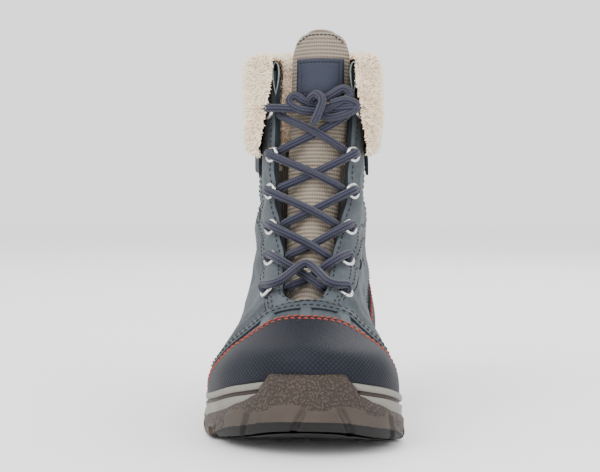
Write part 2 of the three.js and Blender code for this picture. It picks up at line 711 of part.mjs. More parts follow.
// Cuff: the collar's leather folded outwards and down, and its fleece over the fold and a little way
// inside.
function cuff() {
  const [on, out] = [OVERLAY + 2 * FIT_GAP, OVERLAY + 2 * FIT_GAP + CUFF_LEATHER];
  const top = TOP_SECTION;
  const roof = 2 * FIT_GAP;
  const middle = (out - WALL) / 2;
  const rows = [CUFF_SECTION, 10.5, 11.4, 12.3];
  return band([
    ...rows.map((v) => ring(v, on)),
    ring(top, on, roof),
    ring(top, -WALL, roof),
    ring(top, -WALL, roof + 0.4 * CUFF_LEATHER),
    ring(top, middle, roof + CUFF_LEATHER),
    ring(top, out - 0.4, roof + 0.6 * CUFF_LEATHER),
    ring(top, out, 0),
    ...rows.reverse().map((v) => ring(v, out)),
  ])
    .subtract(throatCutter(CUFF_THROAT))
    .subtract(eyeletHoles[2 * TOP_PAIR])
    .subtract(eyeletHoles[2 * TOP_PAIR + 1]);
}

// The pile gives way round the top eyelets and to the lace that runs forward from them.
function laceNotches() {
  const { up, out } = EYELETS[TOP_PAIR];
  const [wide, z] = [EYELET_RADIUS + 2 * FIT_GAP, up * foldFront];
  const [low, high] = [z - 0.76 * LACE_DIAMETER, z + 1.1 * LACE_DIAMETER];
  const notch = eyeletPlaces
    .filter((place) => place.pair === TOP_PAIR)
    .map((place) => {
      const drill = new THREE.CylinderGeometry(wide, wide, 0.8 * SHAFT_WIDTH, EYELET_SIDES);
      const well = solidOf(placed(drill, place));
      const reach = place.hand * (out * SHAFT_WIDTH + LACE_DIAMETER);
      const path = [0, reach].map((x) => throatMiddle(z) + x).sort((a, b) => a - b);
      const outline = [
        [path[0], low],
        [path[1], low],
        [path[1], high],
        [path[0], high],
      ];
      return well.add(prism(outline, "front", -REACH, place.point.y + LACE_DIAMETER));
    });
  return notch[0].add(notch[1]);
}

// Uneven pile: long waves round the cuff and short ones up it.
const pile = (angle, v) => 0.55 * Math.sin(7 * angle + 2.1 * v) + 0.45 * Math.sin(13 * angle - 3.3 * v + 1);
function fleeceRing(v, offset, rise, lumps = 1) {
  return angles(AROUND).map((angle) => {
    const p = surface(v, angle, offset + lumps * pile(angle, v), rise);
    p.z += lumps * 0.8 * pile(angle + 1.3, v);
    return p;
  });
}

function fleece() {
  const under = OVERLAY + 3 * FIT_GAP + CUFF_LEATHER;
  const out = under + FLEECE_DEPTH;
  const roof = CUFF_LEATHER + 3 * FIT_GAP;
  const top = TOP_SECTION;
  const inner = -(WALL + FLEECE_LINING);
  const [foot, rest] = [FLEECE_SECTION, -(WALL + FIT_GAP)];
  const around = band([
    fleeceRing(foot, under, 0, 0),
    fleeceRing(foot + 1.3, under, 0, 0),
    fleeceRing(top, under, 0, 0),
    fleeceRing(top, under, roof, 0),
    fleeceRing(top, rest, roof, 0),
    fleeceRing(top, rest, 0, 0),
    fleeceRing(top - 1.6, rest, 0, 0),
    fleeceRing(LINING_SECTION, rest, 0, 0),
    fleeceRing(LINING_SECTION, inner, 0, 0),
    fleeceRing(top - 1.6, inner, 0, 0.5),
    fleeceRing(top, inner, 0, 0.5),
    fleeceRing(top, inner + 0.3 * FLEECE_LINING, roof + 0.7 * FLEECE_DEPTH, 0.6),
    fleeceRing(top, 0, roof + FLEECE_DEPTH, 0.8),
    fleeceRing(top, out - 0.3 * FLEECE_DEPTH, roof + 0.6 * FLEECE_DEPTH),
    fleeceRing(top, out, 0),
    fleeceRing(foot + 1.7, out),
    fleeceRing(foot + 0.8, out),
    fleeceRing(foot + 0.1, under + 0.8 * FLEECE_DEPTH),
  ]);
  const locks = angles(LOCKS_AROUND).map((angle, k) => {
    const v = FLEECE_SECTION + 0.1 * Math.sin(5 * k);
    const tip = surface(v - 0.16, angle, under + 1);
    const root = surface(v + 0.35, angle, under + 0.5 * FLEECE_DEPTH);
    const cone = new THREE.ConeGeometry(LOCK_SIZE, root.distanceTo(tip), 4);
    const point = root.clone().add(tip).multiplyScalar(0.5);
    return solidOf(placed(cone, { point, normal: tip.clone().sub(root).normalize() }));
  });
  const covered = form(under, { low: FLEECE_SECTION - 1, high: FLEECE_SECTION + 1, steps: 20 });
  const folded = wasm.Manifold.union([around, ...locks.map((lock) => lock.subtract(covered))]);
  // The lining and the fold end at the eyestays' edges, and the pile outside along the cuff's.
  const within = (grow) =>
    form(under - FIT_GAP + grow, { low: LINING_SECTION - 2, rise: 0.16 * SHAFT_HEIGHT + grow });
  const cut = throatCutter(CUFF_THROAT, 0.4)
    .subtract(within(0))
    .add(throatCutter(THROAT, 0.4).intersect(within(FIT_GAP)));
  const parts = folded.subtract(cut).subtract(laceNotches()).decompose();
  return parts.sort((a, b) => b.volume() - a.volume())[0];
}

// Tongue: a padded strip behind the throat, rounded at its top. Its middle stands proud of its edges.
const TONGUE_FOOT = 0.335 * foldFront;
function tonguePath(z) {
  const overTop = clamp((z - 0.9 * foldFront) / (0.25 * foldFront), 0, 1);
  const seen = Math.min(z, 0.985 * foldFront);
  const place = frontPlace(throatMiddle(seen), seen);
  const p = place.point.addScaledVector(place.normal, -(WALL + TONGUE_SETBACK) + 5 * ease(overTop));
  p.z += z - seen;
  p.x = throatMiddle(z) + TONGUE_LEAN * ease(clamp((z - 0.5 * foldFront) / (0.6 * foldFront), 0, 1));
  return { point: p, normal: place.normal.setX(0).normalize() };
}
function tongueRing(z, half, grow) {
  const { point, normal } = tonguePath(z);
  const count = 7;
  const places = [];
  const across = (s, depth) => {
    const bow = TONGUE_BOW * (0.6 - s * s);
    return new THREE.Vector3(half * s, 0, 0).add(point).addScaledVector(normal, bow + depth);
  };
  for (let k = 0; k <= count; k += 1) places.push(across(-1 + (2 * k) / count, grow));
  for (let k = count; k >= 0; k -= 1) places.push(across(-1 + (2 * k) / count, grow - TONGUE_THICKNESS));
  return places;
}
const TONGUE_SHAPE = [
  { up: 0, wide: 0.66 },
  { up: 0.2, wide: 0.78 },
  { up: 0.5, wide: 0.9 },
  { up: 0.75, wide: 1 },
  { up: 0.9, wide: 0.97 },
  { up: 0.96, wide: 0.84 },
  { up: 0.985, wide: 0.66 },
  { up: 1, wide: 0.42 },
];
const tongueHalf = (z) => {
  const up = (z - TONGUE_FOOT) / (TONGUE_TOP - TONGUE_FOOT);
  return 0.5 * TONGUE_WIDTH * lookUp(TONGUE_SHAPE, "up", "wide", up);
};

// A closed solid through rings whose ends are flat enough to close as fans.
function stack(rings) {
  const n = rings[0].length;
  const triangles = [];
  for (let k = 0; k + 1 < rings.length; k += 1) {
    for (let i = 0; i < n; i += 1) {
      const [a, b] = [k * n + i, k * n + ((i + 1) % n)];
      triangles.push(a, b, a + n, b, b + n, a + n);
    }
  }
  const half = n / 2;
  const last = (rings.length - 1) * n;
  for (let i = 0; i + 1 < half; i += 1) {
    const [a, b, c, d] = [i, i + 1, n - 1 - i, n - 2 - i];
    triangles.push(a, c, b, b, c, d);
    triangles.push(last + a, last + b, last + c, last + b, last + d, last + c);
  }
  return solid(rings.flat(), triangles);
}

function tongue() {
  const heights = [0, 0.1, 0.2, 0.3, 0.4, 0.5, 0.6, 0.7, 0.76, 0.82, 0.88, 0.93, 0.96, 0.985, 1];
  return stack(
    heights.map((up) => {
      const z = TONGUE_FOOT + up * (TONGUE_TOP - TONGUE_FOOT);
      return tongueRing(z, tongueHalf(z), 0);
    }),
  );
}

function tongueLabel() {
  const from = 0.83 * TONGUE_TOP;
  const rings = [0, 0.2, 0.4, 0.6, 0.8, 1].map((up) => {
    const z = from + up * LABEL_HEIGHT;
    const { point, normal } = tonguePath(z);
    const half = tongueHalf(z);
    const count = 6;
    const across = (s, depth) => {
      const bow = TONGUE_BOW * (0.6 - s * s);
      return new THREE.Vector3(half * s, 0, 0).add(point).addScaledVector(normal, bow + depth);
    };
    const reach = LABEL_WIDTH / 2 / half;
    const shares = [...Array(count + 1).keys()].map((k) => reach * (-1 + (2 * k) / count));
    const outside = shares.map((s) => across(s, 2 * FIT_GAP + LABEL_THICKNESS));
    return [...outside, ...shares.reverse().map((s) => across(s, 2 * FIT_GAP))];
  });
  return stack(rings);
}

// Eyelets: a flange outside the eyestay and a barrel through the wall.
function eyelet(place) {
  const foot = flangeFoot(place.pair);
  const profile = [
    [EYELET_BORE, -WALL],
    [EYELET_BARREL, -WALL],
    [EYELET_BARREL, foot],
    [EYELET_RADIUS, foot],
    [EYELET_RADIUS - 0.4, foot + EYELET_FLANGE],
    [EYELET_BORE, foot + EYELET_FLANGE],
    [EYELET_BORE, -WALL],
  ].map(([r, h]) => new THREE.Vector2(r, h));
  return solidOf(placed(new THREE.LatheGeometry(profile, EYELET_SIDES), place));
}

// Lace.

const LACE = LACE_DIAMETER / 2;
const LACE_LIFT = 1.4; // the taut lace stands off the leather by this much
function cord(places) {
  const curve = new THREE.CatmullRomCurve3(places, false, "centripetal");
  const steps = Math.ceil(curve.getLength() / (1.8 * LACE_DIAMETER));
  const section = new THREE.Shape(
    angles(LACE_SIDES).map((angle) => new THREE.Vector2(LACE * Math.cos(angle), LACE * Math.sin(angle))),
  );
  return solidOf(new THREE.ExtrudeGeometry(section, { steps, extrudePath: curve, bevelEnabled: false }));
}

const overEyelet = (pair, hand) => {
  const { point, normal } = eyeletPlaces.find((place) => place.pair === pair && place.hand === hand);
  return point.clone().addScaledVector(normal, flangeFoot(pair) + EYELET_FLANGE + LACE + LACE_LIFT);
};
const eyeletHeight = (pair) => EYELETS[pair].up * foldFront;
const overEdge = (z, hand) =>
  overFront(throatMiddle(z) + hand * (throatHalf(z) + 1), z, OVERLAY + 2 * FIT_GAP + LACE + LACE_LIFT);
// Under the eyestay's edge the lace stops short of the wall.
const underEdge = (z, hand) =>
  overFront(throatMiddle(z) + hand * (throatHalf(z) - LACE - 3 * FIT_GAP), z, -1);
const overTongue = (z, lift) => {
  const { point, normal } = tonguePath(z);
  return point.addScaledVector(normal, 0.6 * TONGUE_BOW + 2 * FIT_GAP + LACE + lift);
};

const BAR_RISE = 9; // the lowest run arches up by this much, over the first crossing
function laceBar() {
  const z = eyeletHeight(0);
  const edges = [-1, 1].map((hand) => overEdge(z + 0.45 * BAR_RISE, hand));
  const middle = overTongue(z + BAR_RISE, 1.7 * LACE_DIAMETER);
  return cord([overEyelet(0, -1), edges[0], middle, edges[1], overEyelet(0, 1)]);
}

// The two strands between a pair of eyelets and the pair below it. They cross on the tongue.
function laceCrossing(pair) {
  const [high, low] = [eyeletHeight(pair), eyeletHeight(pair - 1)];
  const at = (share) => high + (low - high) * share;
  const strand = (hand, lift) => {
    const outside = [overEyelet(pair, hand), overEdge(at(0.06), hand)];
    const start = pair === TOP_PAIR ? [underEdge(at(0.12), hand)] : outside;
    return cord([...start, overTongue(at(0.5), lift), underEdge(at(0.9), -hand)]);
  };
  return strand(-1, 0.45 * LACE_DIAMETER).add(strand(1, 0));
}

// A tight bow of short loops, tied over the tongue, and the two strands that hold it.
const KNOT_HEIGHT = 0.905 * foldFront;
// Each cord's places from the knot's middle, in lace diameters: across, up and out from the tongue.
const BOW = [
  [[0.2, -0.2, 0], [-1.6, 0.4, 0.5], [-2.9, 1.1, 0.3], [-3.4, 0.2, 0.6], [-2, -0.7, 0.9], [0, -0.9, 0.6]],
  [[-0.3, 0.1, 0.2], [1.2, 0.9, 0.6], [3, 1.9, 0.4], [3.9, 1, 0.6], [2.5, 0.2, 0.8], [0.6, -0.8, 0.7]],
  [[1.6, 0.1, 0.8], [3.4, 0.5, 0.9], [4.7, -0.2, 0.8], [3.6, -1.1, 0.9], [1.4, -1.6, 0.7], [0.2, -1.1, 0.4]],
  [[-1.3, -1.2, 0], [-1, 0.5, 0.5], [-0.1, 1.2, 1.3], [0.6, 0.4, 1.9], [0.2, -0.9, 1.9], [-0.5, -2.4, 1.7]],
];
function laceKnot() {
  const middle = overTongue(KNOT_HEIGHT, 0.5);
  const at = ([x, z, out]) => new THREE.Vector3(x, -out, z).multiplyScalar(LACE_DIAMETER).add(middle);
  const holders = [-1, 1].map((hand) => {
    const edge = overEdge(eyeletHeight(TOP_PAIR), hand).add(new THREE.Vector3(0, -1.5, 1));
    return cord([overEyelet(TOP_PAIR, hand), edge, at([hand * 0.3, -0.6, 0.2])]);
  });
  return BOW.map((path) => cord(path.map(at))).concat(holders).reduce((joined, one) => joined.add(one));
}

// Group.

const group = new THREE.Group();
const material = (color, roughness, metalness = 0) =>
  new THREE.MeshStandardMaterial({ color, roughness, metalness });
const MATERIALS = {
  rubber: material(0x6b5f58, 0.85),
  foam: material(0xa7a49c, 0.7),
  insole: material(0xcdbfa6, 0.95),
  leather: material(0x55636f, 0.6),
  coated: material(0x343945, 0.7),
  webbing: material(0xf2551b, 0.75),
  fleece: material(0xf0d9bd, 1.0),
  cuffLeather: material(0x2e353f, 0.5),
  textile: material(0xa39a8e, 0.9),
  label: material(0x55607c, 0.8),
  metal: material(0xc9c9cc, 0.3, 1.0),
  lace: material(0x4d5068, 0.85),
};

function add(name, made, finish) {
  const mesh = made.simplify(FLAT_ENOUGH).getMesh();
  const geometry = new THREE.BufferGeometry()
    .setAttribute("position", new THREE.BufferAttribute(mesh.vertProperties, 3))
    .setIndex(new THREE.BufferAttribute(mesh.triVerts, 1));
  geometry.computeVertexNormals();
  const node = new THREE.Mesh(geometry, MATERIALS[finish]);
  node.name = name;
  group.add(node);
}

add("outsole", outsole(), "rubber");
add("midsole", midsole(), "foam");
add("insole", insole(), "insole");
add("upper", upper(), "leather");
add("toe_cap", toeCap(), "coated");
add("heel_counter", heelCounter(), "coated");
add("vamp_strip", vampStrip(), "leather");
add("quarter", quarter(), "leather");
add("eyestay_outer", eyestay(-1), "leather");
add("eyestay_inner", eyestay(1), "leather");
add("heel_strap", heelStrap(), "webbing");
add("pull_loop", pullLoop(), "webbing");
add("cuff", cuff(), "cuffLeather");
add("fleece", fleece(), "fleece");
add("tongue", tongue(), "textile");
add("tongue_label", tongueLabel(), "label");
for (const place of eyeletPlaces) {
  add(`eyelet_${place.hand < 0 ? "outer" : "inner"}_${place.pair + 1}`, eyelet(place), "metal");
}
add("lace_bar", laceBar(), "lace");
for (let pair = 1; pair <= TOP_PAIR; pair += 1) add(`lace_crossing_${pair}`, laceCrossing(pair), "lace");
add("lace_knot", laceKnot(), "lace");

export default group;
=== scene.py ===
import math

import bpy
import numpy as np
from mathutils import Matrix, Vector


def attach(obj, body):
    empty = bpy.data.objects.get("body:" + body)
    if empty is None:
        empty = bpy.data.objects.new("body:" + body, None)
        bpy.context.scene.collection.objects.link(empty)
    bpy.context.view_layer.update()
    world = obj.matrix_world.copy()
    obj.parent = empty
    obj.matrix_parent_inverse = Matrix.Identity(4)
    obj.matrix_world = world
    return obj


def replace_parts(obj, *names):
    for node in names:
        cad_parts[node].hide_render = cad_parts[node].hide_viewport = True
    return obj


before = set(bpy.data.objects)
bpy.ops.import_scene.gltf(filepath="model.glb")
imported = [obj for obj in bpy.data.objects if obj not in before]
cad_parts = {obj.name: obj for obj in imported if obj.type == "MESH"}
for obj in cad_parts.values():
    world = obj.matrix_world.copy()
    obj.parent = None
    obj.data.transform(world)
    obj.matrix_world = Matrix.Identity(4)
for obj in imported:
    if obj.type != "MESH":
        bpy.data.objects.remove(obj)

# A child's right snow boot, dressed over its CAD solids: leather with creases and seams, fleece with its
# pile, a ribbed tongue, webbing, a braided lace through its eyelets, and a moulded sole. Sizes are
# millimetres in the frame's axes: the toe points to -Y, the inner side of the foot is +X, and the origin
# is on the floor under the middle of the heel.

MM = 0.001
ROUND = 2 * math.pi
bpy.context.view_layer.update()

# Driving dimensions, as in the part.
SOLE_LENGTH = 236
HEEL_BACK = 30
BALL_WIDTH = 82
HEEL_WIDTH = 64.5
SHAFT_WIDTH = 51
SHAFT_HEIGHT = 187
COLLAR_DROP = 13
HEEL_SEAT = 30.5
BALL_SEAT = 17.5
TOE_SEAT = 33.5
TOE_SPRING = 12
ARCH_RISE = 4.5
WALL = 2.4
FIT_GAP = 0.3
OUTSOLE_HEIGHT = 9
SOLE_LEDGE = 2.6
OUTSOLE_LEDGE = 0.9
EDGE_ROUND = 3
BEAD_HEIGHT = 3
GROOVE_HEIGHT = 1.8
GROOVE_DEPTH = 1.3
LUG_DEPTH = 4.4
LUG_GROOVE = 4.2
BUMPER_THICKNESS = 2
TOE_BUMPER_TOP = 37.5
TOE_BUMPER_WIDTH = 33
TOE_BUMPER_FOOT = 43
HEEL_BUMPER_WIDTH = 29
HEEL_BUMPER_FOOT = 58
OVERLAY = 1.2
EYESTAY_WIDTH = 12
STRIP_WIDTH = 8.5
STRAP_WIDTH = 25
STRAP_THICKNESS = 1.6
LOOP_WIDTH = 28
LOOP_HEIGHT = 24
LOOP_DEPTH = 10
CUFF_LEATHER = 1.5
FLEECE_DEPTH = 5.6
FLEECE_LINING = 6.2
TONGUE_WIDTH = 30
TONGUE_THICKNESS = 4.2
TONGUE_SETBACK = 7
TONGUE_LEAN = 3
TONGUE_BOW = 5.5
TONGUE_TOP = 195
LABEL_HEIGHT = 19
LABEL_WIDTH = 24
EYELET_RADIUS = 4.3
EYELET_BORE = 2.4
EYELET_FLANGE = 0.8
LACE_DIAMETER = 4.2
LACE = LACE_DIAMETER / 2
FOLD_FRONT = SHAFT_HEIGHT - COLLAR_DROP
BALL_AT = 0.6

# Sections of the last from the feather edge to the fold of the collar, as in the part.
COLUMNS = ("back", "back_up", "front", "front_up", "heel", "waist", "ball", "toe", "shaft", "splay", "swing")
SECTIONS = np.array([
    (0.027, 0.0, 0.97, 0.0, 0.86, 0.365, 0.568, 0.72, 0, 0.045, 0.13),
    (0.016, 0.06, 0.98, 0.039, 0.87, 0.38, 0.558, 0.7, 0, 0.04, 0.13),
    (0.013, 0.125, 0.971, 0.078, 0.84, 0.37, 0.49, 0.62, 0, 0.02, 0.125),
    (0.018, 0.2, 0.939, 0.11, 0.79, 0.38, 0.415, 0.47, 0.1, 0.01, 0.115),
    (0.029, 0.278, 0.872, 0.141, 0.74, 0.4, 0.368, 0.43, 0.25, 0.005, 0.1),
    (0.04, 0.355, 0.79, 0.175, 0.71, 0.415, 0.385, 0.46, 0.42, 0, 0.09),
    (0.048, 0.43, 0.72, 0.232, 0.69, 0.445, 0.415, 0.53, 0.58, 0, 0.084),
    (0.052, 0.507, 0.655, 0.3, 0.67, 0.48, 0.455, 0.61, 0.74, 0, 0.077),
    (0.054, 0.584, 0.605, 0.39, 0.65, 0.51, 0.495, 0.69, 0.88, 0, 0.07),
    (0.055, 0.66, 0.57, 0.5, 0.64, 0.52, 0.52, 0.76, 1, 0, 0.065),
    (0.055, 0.742, 0.547, 0.63, 0.63, 0.52, 0.53, 0.8, 1, 0, 0.062),
    (0.054, 0.826, 0.533, 0.765, 0.63, 0.52, 0.53, 0.82, 1, 0, 0.062),
    (0.052, 0.915, 0.524, 0.89, 0.63, 0.52, 0.53, 0.82, 1, 0, 0.062),
    (0.05, 1.0, 0.519, 1.0, 0.63, 0.52, 0.53, 0.82, 1, 0, 0.062),
], float)
TOP_SECTION = len(SECTIONS) - 1
CUFF_SECTION = 9.6
CUFF_LOW = CUFF_SECTION - 0.02
FLEECE_SECTION = 10.45
LINING_SECTION = 9.9

SEAT = ((0, 0.12, 0.28, 0.45, 0.6, 0.7, 0.81, 0.92, 1), (1, 0.95, 0.66, 0.2, 0, 0.05, 0.31, 0.75, 1.03))
UNDERSIDE = (
    (0, 0.035, 0.29, 0.345, 0.42, 0.475, 0.725, 0.82, 0.92, 1),
    (0.35, 0, 0, 1, 1, 0, 0, 0.2, 0.58, 1),
)
RAND = ((0, 0.7, 0.78, 0.86, 0.93, 0.985, 1.02), (1, 0.95, 1.15, 1.5, 2, 2.65, 2.7))
# The throat's half width and middle, as shares of SHAFT_WIDTH, at shares of the fold's height at the front.
THROAT_UP = (0.36, 0.368, 0.385, 0.465, 0.552, 0.655, 0.759, 0.9, 1.15)
THROAT_HALF = (0.11, 0.175, 0.205, 0.23, 0.29, 0.345, 0.36, 0.372, 0.38)
THROAT_MIDDLE = (0.09, 0.09, 0.09, 0.09, 0.09, 0.09, 0.095, 0.11, 0.115)
CUFF_UP = (0.6, 0.764, 0.888, 1.0, 1.15)
CUFF_HALF = (0.6, 0.53, 0.445, 0.395, 0.39)
CUFF_MIDDLE = (0.095, 0.1, 0.11, 0.115, 0.115)
EYELETS = ((0.386, 0.375), (0.467, 0.372), (0.553, 0.39), (0.655, 0.415), (0.762, 0.41), (0.888, 0.47))
TOP_PAIR = len(EYELETS) - 1


# Curves and the last.


def look_up(at, values, x):
    """Monotone curve through values at the places at, level at both ends."""
    x = np.asarray(x, float)
    values = [np.broadcast_to(np.asarray(value, float), x.shape) for value in values]
    slopes = [(b - a) / (q - p) for a, b, p, q in zip(values, values[1:], at, at[1:])]
    tangents = [np.zeros(x.shape)]
    for before, after in zip(slopes, slopes[1:]):
        rising = before * after > 0
        tangents.append(np.where(rising, 2 * before * after / np.where(rising, before + after, 1), 0))
    tangents.append(np.zeros(x.shape))
    made = values[0].copy()
    for k in range(len(at) - 1):
        step = at[k + 1] - at[k]
        s = np.clip((x - at[k]) / step, 0, 1)
        a, b, ta, tb = values[k], values[k + 1], tangents[k] * step, tangents[k + 1] * step
        bend = 3 * (b - a) - 2 * ta - tb + s * (ta + tb - 2 * (b - a))
        made = np.where(x > at[k], a + s * (ta + s * bend), made)
    return made


def ease(x):
    return x * x * (3 - 2 * x)


def ramp(x, low, high):
    return ease(np.clip((x - low) / (high - low), 0, 1))


def bell(x, width):
    return np.exp(-((x / width) ** 2))


def bent(p, q, r, u, s):
    """Catmull-Rom curve at share s from q to r, with p before them and u after them."""
    return q + 0.5 * s * (r - p + s * (2 * p - 5 * q + 4 * r - u + s * (3 * (q - r) + u - p)))


def spline(places, count):
    """Smooth curve through the places."""
    places = np.array(places, float)
    last = len(places) - 1
    at = np.linspace(0, last, count + 1)
    i = np.minimum(at.astype(int), last - 1)
    s = (at - i)[:, None]
    return bent(*(places[np.clip(i + k, 0, last)] for k in (-1, 0, 1, 2)), s)


def seat_height(t):
    high = np.where(t < BALL_AT * SOLE_LENGTH, HEEL_SEAT, TOE_SEAT)
    return BALL_SEAT + (high - BALL_SEAT) * look_up(*SEAT, t / SOLE_LENGTH)


def underside_height(t):
    high = np.where(t < BALL_AT * SOLE_LENGTH, ARCH_RISE, TOE_SPRING)
    return high * look_up(*UNDERSIDE, t / SOLE_LENGTH)


def section_at(v):
    i = np.clip(np.floor(v).astype(int), 0, TOP_SECTION - 1)
    s = (v - i)[..., None]
    row = bent(*(SECTIONS[np.clip(i + k, 0, TOP_SECTION)] for k in (-1, 0, 1, 2)), s)
    return {name: row[..., k] for k, name in enumerate(COLUMNS)}


def last_point(v, angle):
    """Place on the last: v is its height in sections, angle runs from the back by the outer side."""
    v, angle = np.broadcast_arrays(np.asarray(v, float), np.asarray(angle, float))
    row = section_at(np.clip(v, 0, TOP_SECTION))
    a = (1 - np.cos(angle)) / 2
    outer = np.sin(angle) >= 0
    ball_width = BALL_WIDTH + (SHAFT_WIDTH - BALL_WIDTH) * row["shaft"]
    heel_width = HEEL_WIDTH + (SHAFT_WIDTH - HEEL_WIDTH) * row["shaft"]
    splay = np.where(outer, row["splay"], -row["splay"])
    fullness = (
        row["heel"] * heel_width,
        (row["waist"] + 0.5 * splay) * ball_width,
        (row["ball"] + splay) * ball_width,
        row["toe"] * ball_width,
    )
    half = look_up((0, 0.36, 0.7, 1), fullness, a) * np.abs(np.sin(angle))
    x = row["swing"] * BALL_WIDTH * ramp(a, 0.35, 1) + np.where(outer, -half, half)
    t = SOLE_LENGTH * (row["back"] + (row["front"] - row["back"]) * a)
    back_z = HEEL_SEAT + row["back_up"] * (SHAFT_HEIGHT - HEEL_SEAT)
    front_z = TOE_SEAT + row["front_up"] * (FOLD_FRONT - TOE_SEAT)
    fade = np.clip(1 - v / 5.5, 0, 1) ** 1.4
    sag = seat_height(t) - (HEEL_SEAT + (TOE_SEAT - HEEL_SEAT) * a)
    return np.stack([x, HEEL_BACK - t, back_z + (front_z - back_z) * a + fade * sag], -1)


def unit(vectors):
    return vectors / np.maximum(np.linalg.norm(vectors, axis=-1, keepdims=True), 1e-9)


def columns_of(places):
    """Sections and angles of a list of places."""
    return places[:, 0], places[:, 1]


def last_normal(v, angle):
    dv, da = 0.04, 0.02
    low = np.clip(v, dv, TOP_SECTION - dv)
    up = last_point(low + dv, angle) - last_point(low - dv, angle)
    around = last_point(low, angle + da) - last_point(low, angle - da)
    return unit(np.cross(around, up))


def surface(v, angle, offset=0.0, rise=0.0):
    made = last_point(v, angle) + last_normal(v, angle) * np.asarray(offset, float)[..., None]
    made[..., 2] += rise
    return made


def place_at(x, z, at_front, lift=0.0):
    """v and angle where the last, grown by lift, passes through x and z on its front or its back."""
    x, z = np.broadcast_arrays(np.asarray(x, float), np.asarray(z, float))
    middle = math.pi if at_front else 0.0
    levels = np.linspace(2, TOP_SECTION, 200)
    v = np.interp(z, surface(levels, np.full(200, middle), lift)[:, 2], levels)
    angle = np.full(x.shape, middle)
    for _ in range(14):
        p = surface(v, angle, lift)
        along_v = (surface(v + 0.01, angle, lift) - p) / 0.01
        along_a = (surface(v, angle + 0.01, lift) - p) / 0.01
        ex, ez = x - p[..., 0], z - p[..., 2]
        det = along_v[..., 0] * along_a[..., 2] - along_a[..., 0] * along_v[..., 2]
        det = np.where(np.abs(det) < 1e-6, 1e-6, det)
        dv = (ex * along_a[..., 2] - along_a[..., 0] * ez) / det
        da = (along_v[..., 0] * ez - ex * along_v[..., 2]) / det
        v = np.clip(v + np.clip(dv, -1, 1), 0, TOP_SECTION)
        angle = np.clip(angle + np.clip(da, -0.25, 0.25), middle - 0.5 * math.pi, middle + 0.5 * math.pi)
    return v, angle


def throat_middle(z):
    return SHAFT_WIDTH * look_up(THROAT_UP, THROAT_MIDDLE, z / FOLD_FRONT)


def throat_half(z):
    return SHAFT_WIDTH * look_up(THROAT_UP, THROAT_HALF, z / FOLD_FRONT)


# Fields: how far inside an outline a place on the last lies.


def beside(line):
    """Signed distance from a line of (t, z) places, positive on its left."""
    start, step = line[:-1], np.diff(line, axis=0)

    def distance(p):
        q = np.stack([HEEL_BACK - p[..., 1], p[..., 2]], -1).reshape(-1, 2)
        made = np.empty(len(q))
        for low in range(0, len(q), 20000):
            part = q[low : low + 20000]
            rel = part[:, None] - start
            share = np.clip((rel * step).sum(-1) / (step**2).sum(-1), 0, 1)
            apart = ((rel - share[..., None] * step) ** 2).sum(-1)
            near = apart.argmin(1)
            pick = np.arange(len(part))
            turn = step[near, 0] * rel[pick, near, 1] - step[near, 1] * rel[pick, near, 0]
            made[low : low + 20000] = np.sqrt(apart[pick, near]) * np.sign(turn)
        return made.reshape(p.shape[:-1])

    return distance


def sized(places):
    return [(t * SOLE_LENGTH, z * SHAFT_HEIGHT) for t, z in places]


TOE_CAP_EDGE = sized([(0.815, 0.36), (0.81, 0.31), (0.785, 0.25), (0.74, 0.18), (0.68, 0.11), (0.64, 0.05)])
STRIP_EDGE = sized([(0.752, 0.4), (0.748, 0.34), (0.722, 0.275), (0.672, 0.195), (0.605, 0.12), (0.57, 0.05)])
COUNTER_EDGE = sized([(-0.05, 0.395), (0.06, 0.39), (0.15, 0.35), (0.23, 0.27), (0.275, 0.17), (0.29, 0.05)])
QUARTER_LOW = sized([(-0.05, 0.445), (0.06, 0.435), (0.17, 0.375), (0.28, 0.285), (0.4, 0.205), (0.52, 0.16)])
QUARTER_HIGH = sized([(0.58, 0.5), (0.4, 0.535), (0.2, 0.585), (-0.05, 0.625)])

beyond_cap = beside(spline(TOE_CAP_EDGE, 40))
beyond_strip = beside(spline(STRIP_EDGE, 40))
beyond_strip_front = beside(spline(STRIP_EDGE, 40) + (STRIP_WIDTH, 0))
under_counter = beside(spline(COUNTER_EDGE, 40)[::-1])
over_quarter_low = beside(spline(QUARTER_LOW, 40))
under_quarter_high = beside(spline(QUARTER_HIGH, 40))


# Where the throat's edges end at the back, on Y.
INSTEP = HEEL_BACK - 0.4 * SOLE_LENGTH


def outside_throat(p):
    """Distance from the throat's edges; behind the instep it is large."""
    gap = np.abs(p[..., 0] - throat_middle(p[..., 2])) - throat_half(p[..., 2])
    below = 0.362 * FOLD_FRONT - p[..., 2]
    behind = p[..., 1] - INSTEP
    return np.maximum(np.maximum(gap, below), behind)


def outside_cuff_throat(p):
    up = p[..., 2] / FOLD_FRONT
    gap = np.abs(p[..., 0] - SHAFT_WIDTH * look_up(CUFF_UP, CUFF_MIDDLE, up))
    gap = gap - SHAFT_WIDTH * look_up(CUFF_UP, CUFF_HALF, up)
    return np.maximum(gap, p[..., 1] - INSTEP)


def eyestay_reach(p):
    """Positive within an eyestay's width of the throat."""
    return np.minimum(EYESTAY_WIDTH - outside_throat(p), (HEEL_BACK - 0.33 * SOLE_LENGTH) - p[..., 1])


def strip_field(p):
    return np.minimum(np.minimum(beyond_strip(p), -beyond_strip_front(p)), outside_throat(p) - 0.5)


def eyestay_field(p):
    return np.minimum(np.minimum(eyestay_reach(p), outside_throat(p)), -beyond_strip(p) - FIT_GAP)


def quarter_field(p):
    bands = np.minimum(over_quarter_low(p), under_quarter_high(p))
    return np.minimum(np.minimum(bands, -eyestay_reach(p) - FIT_GAP), -beyond_strip(p) - FIT_GAP)


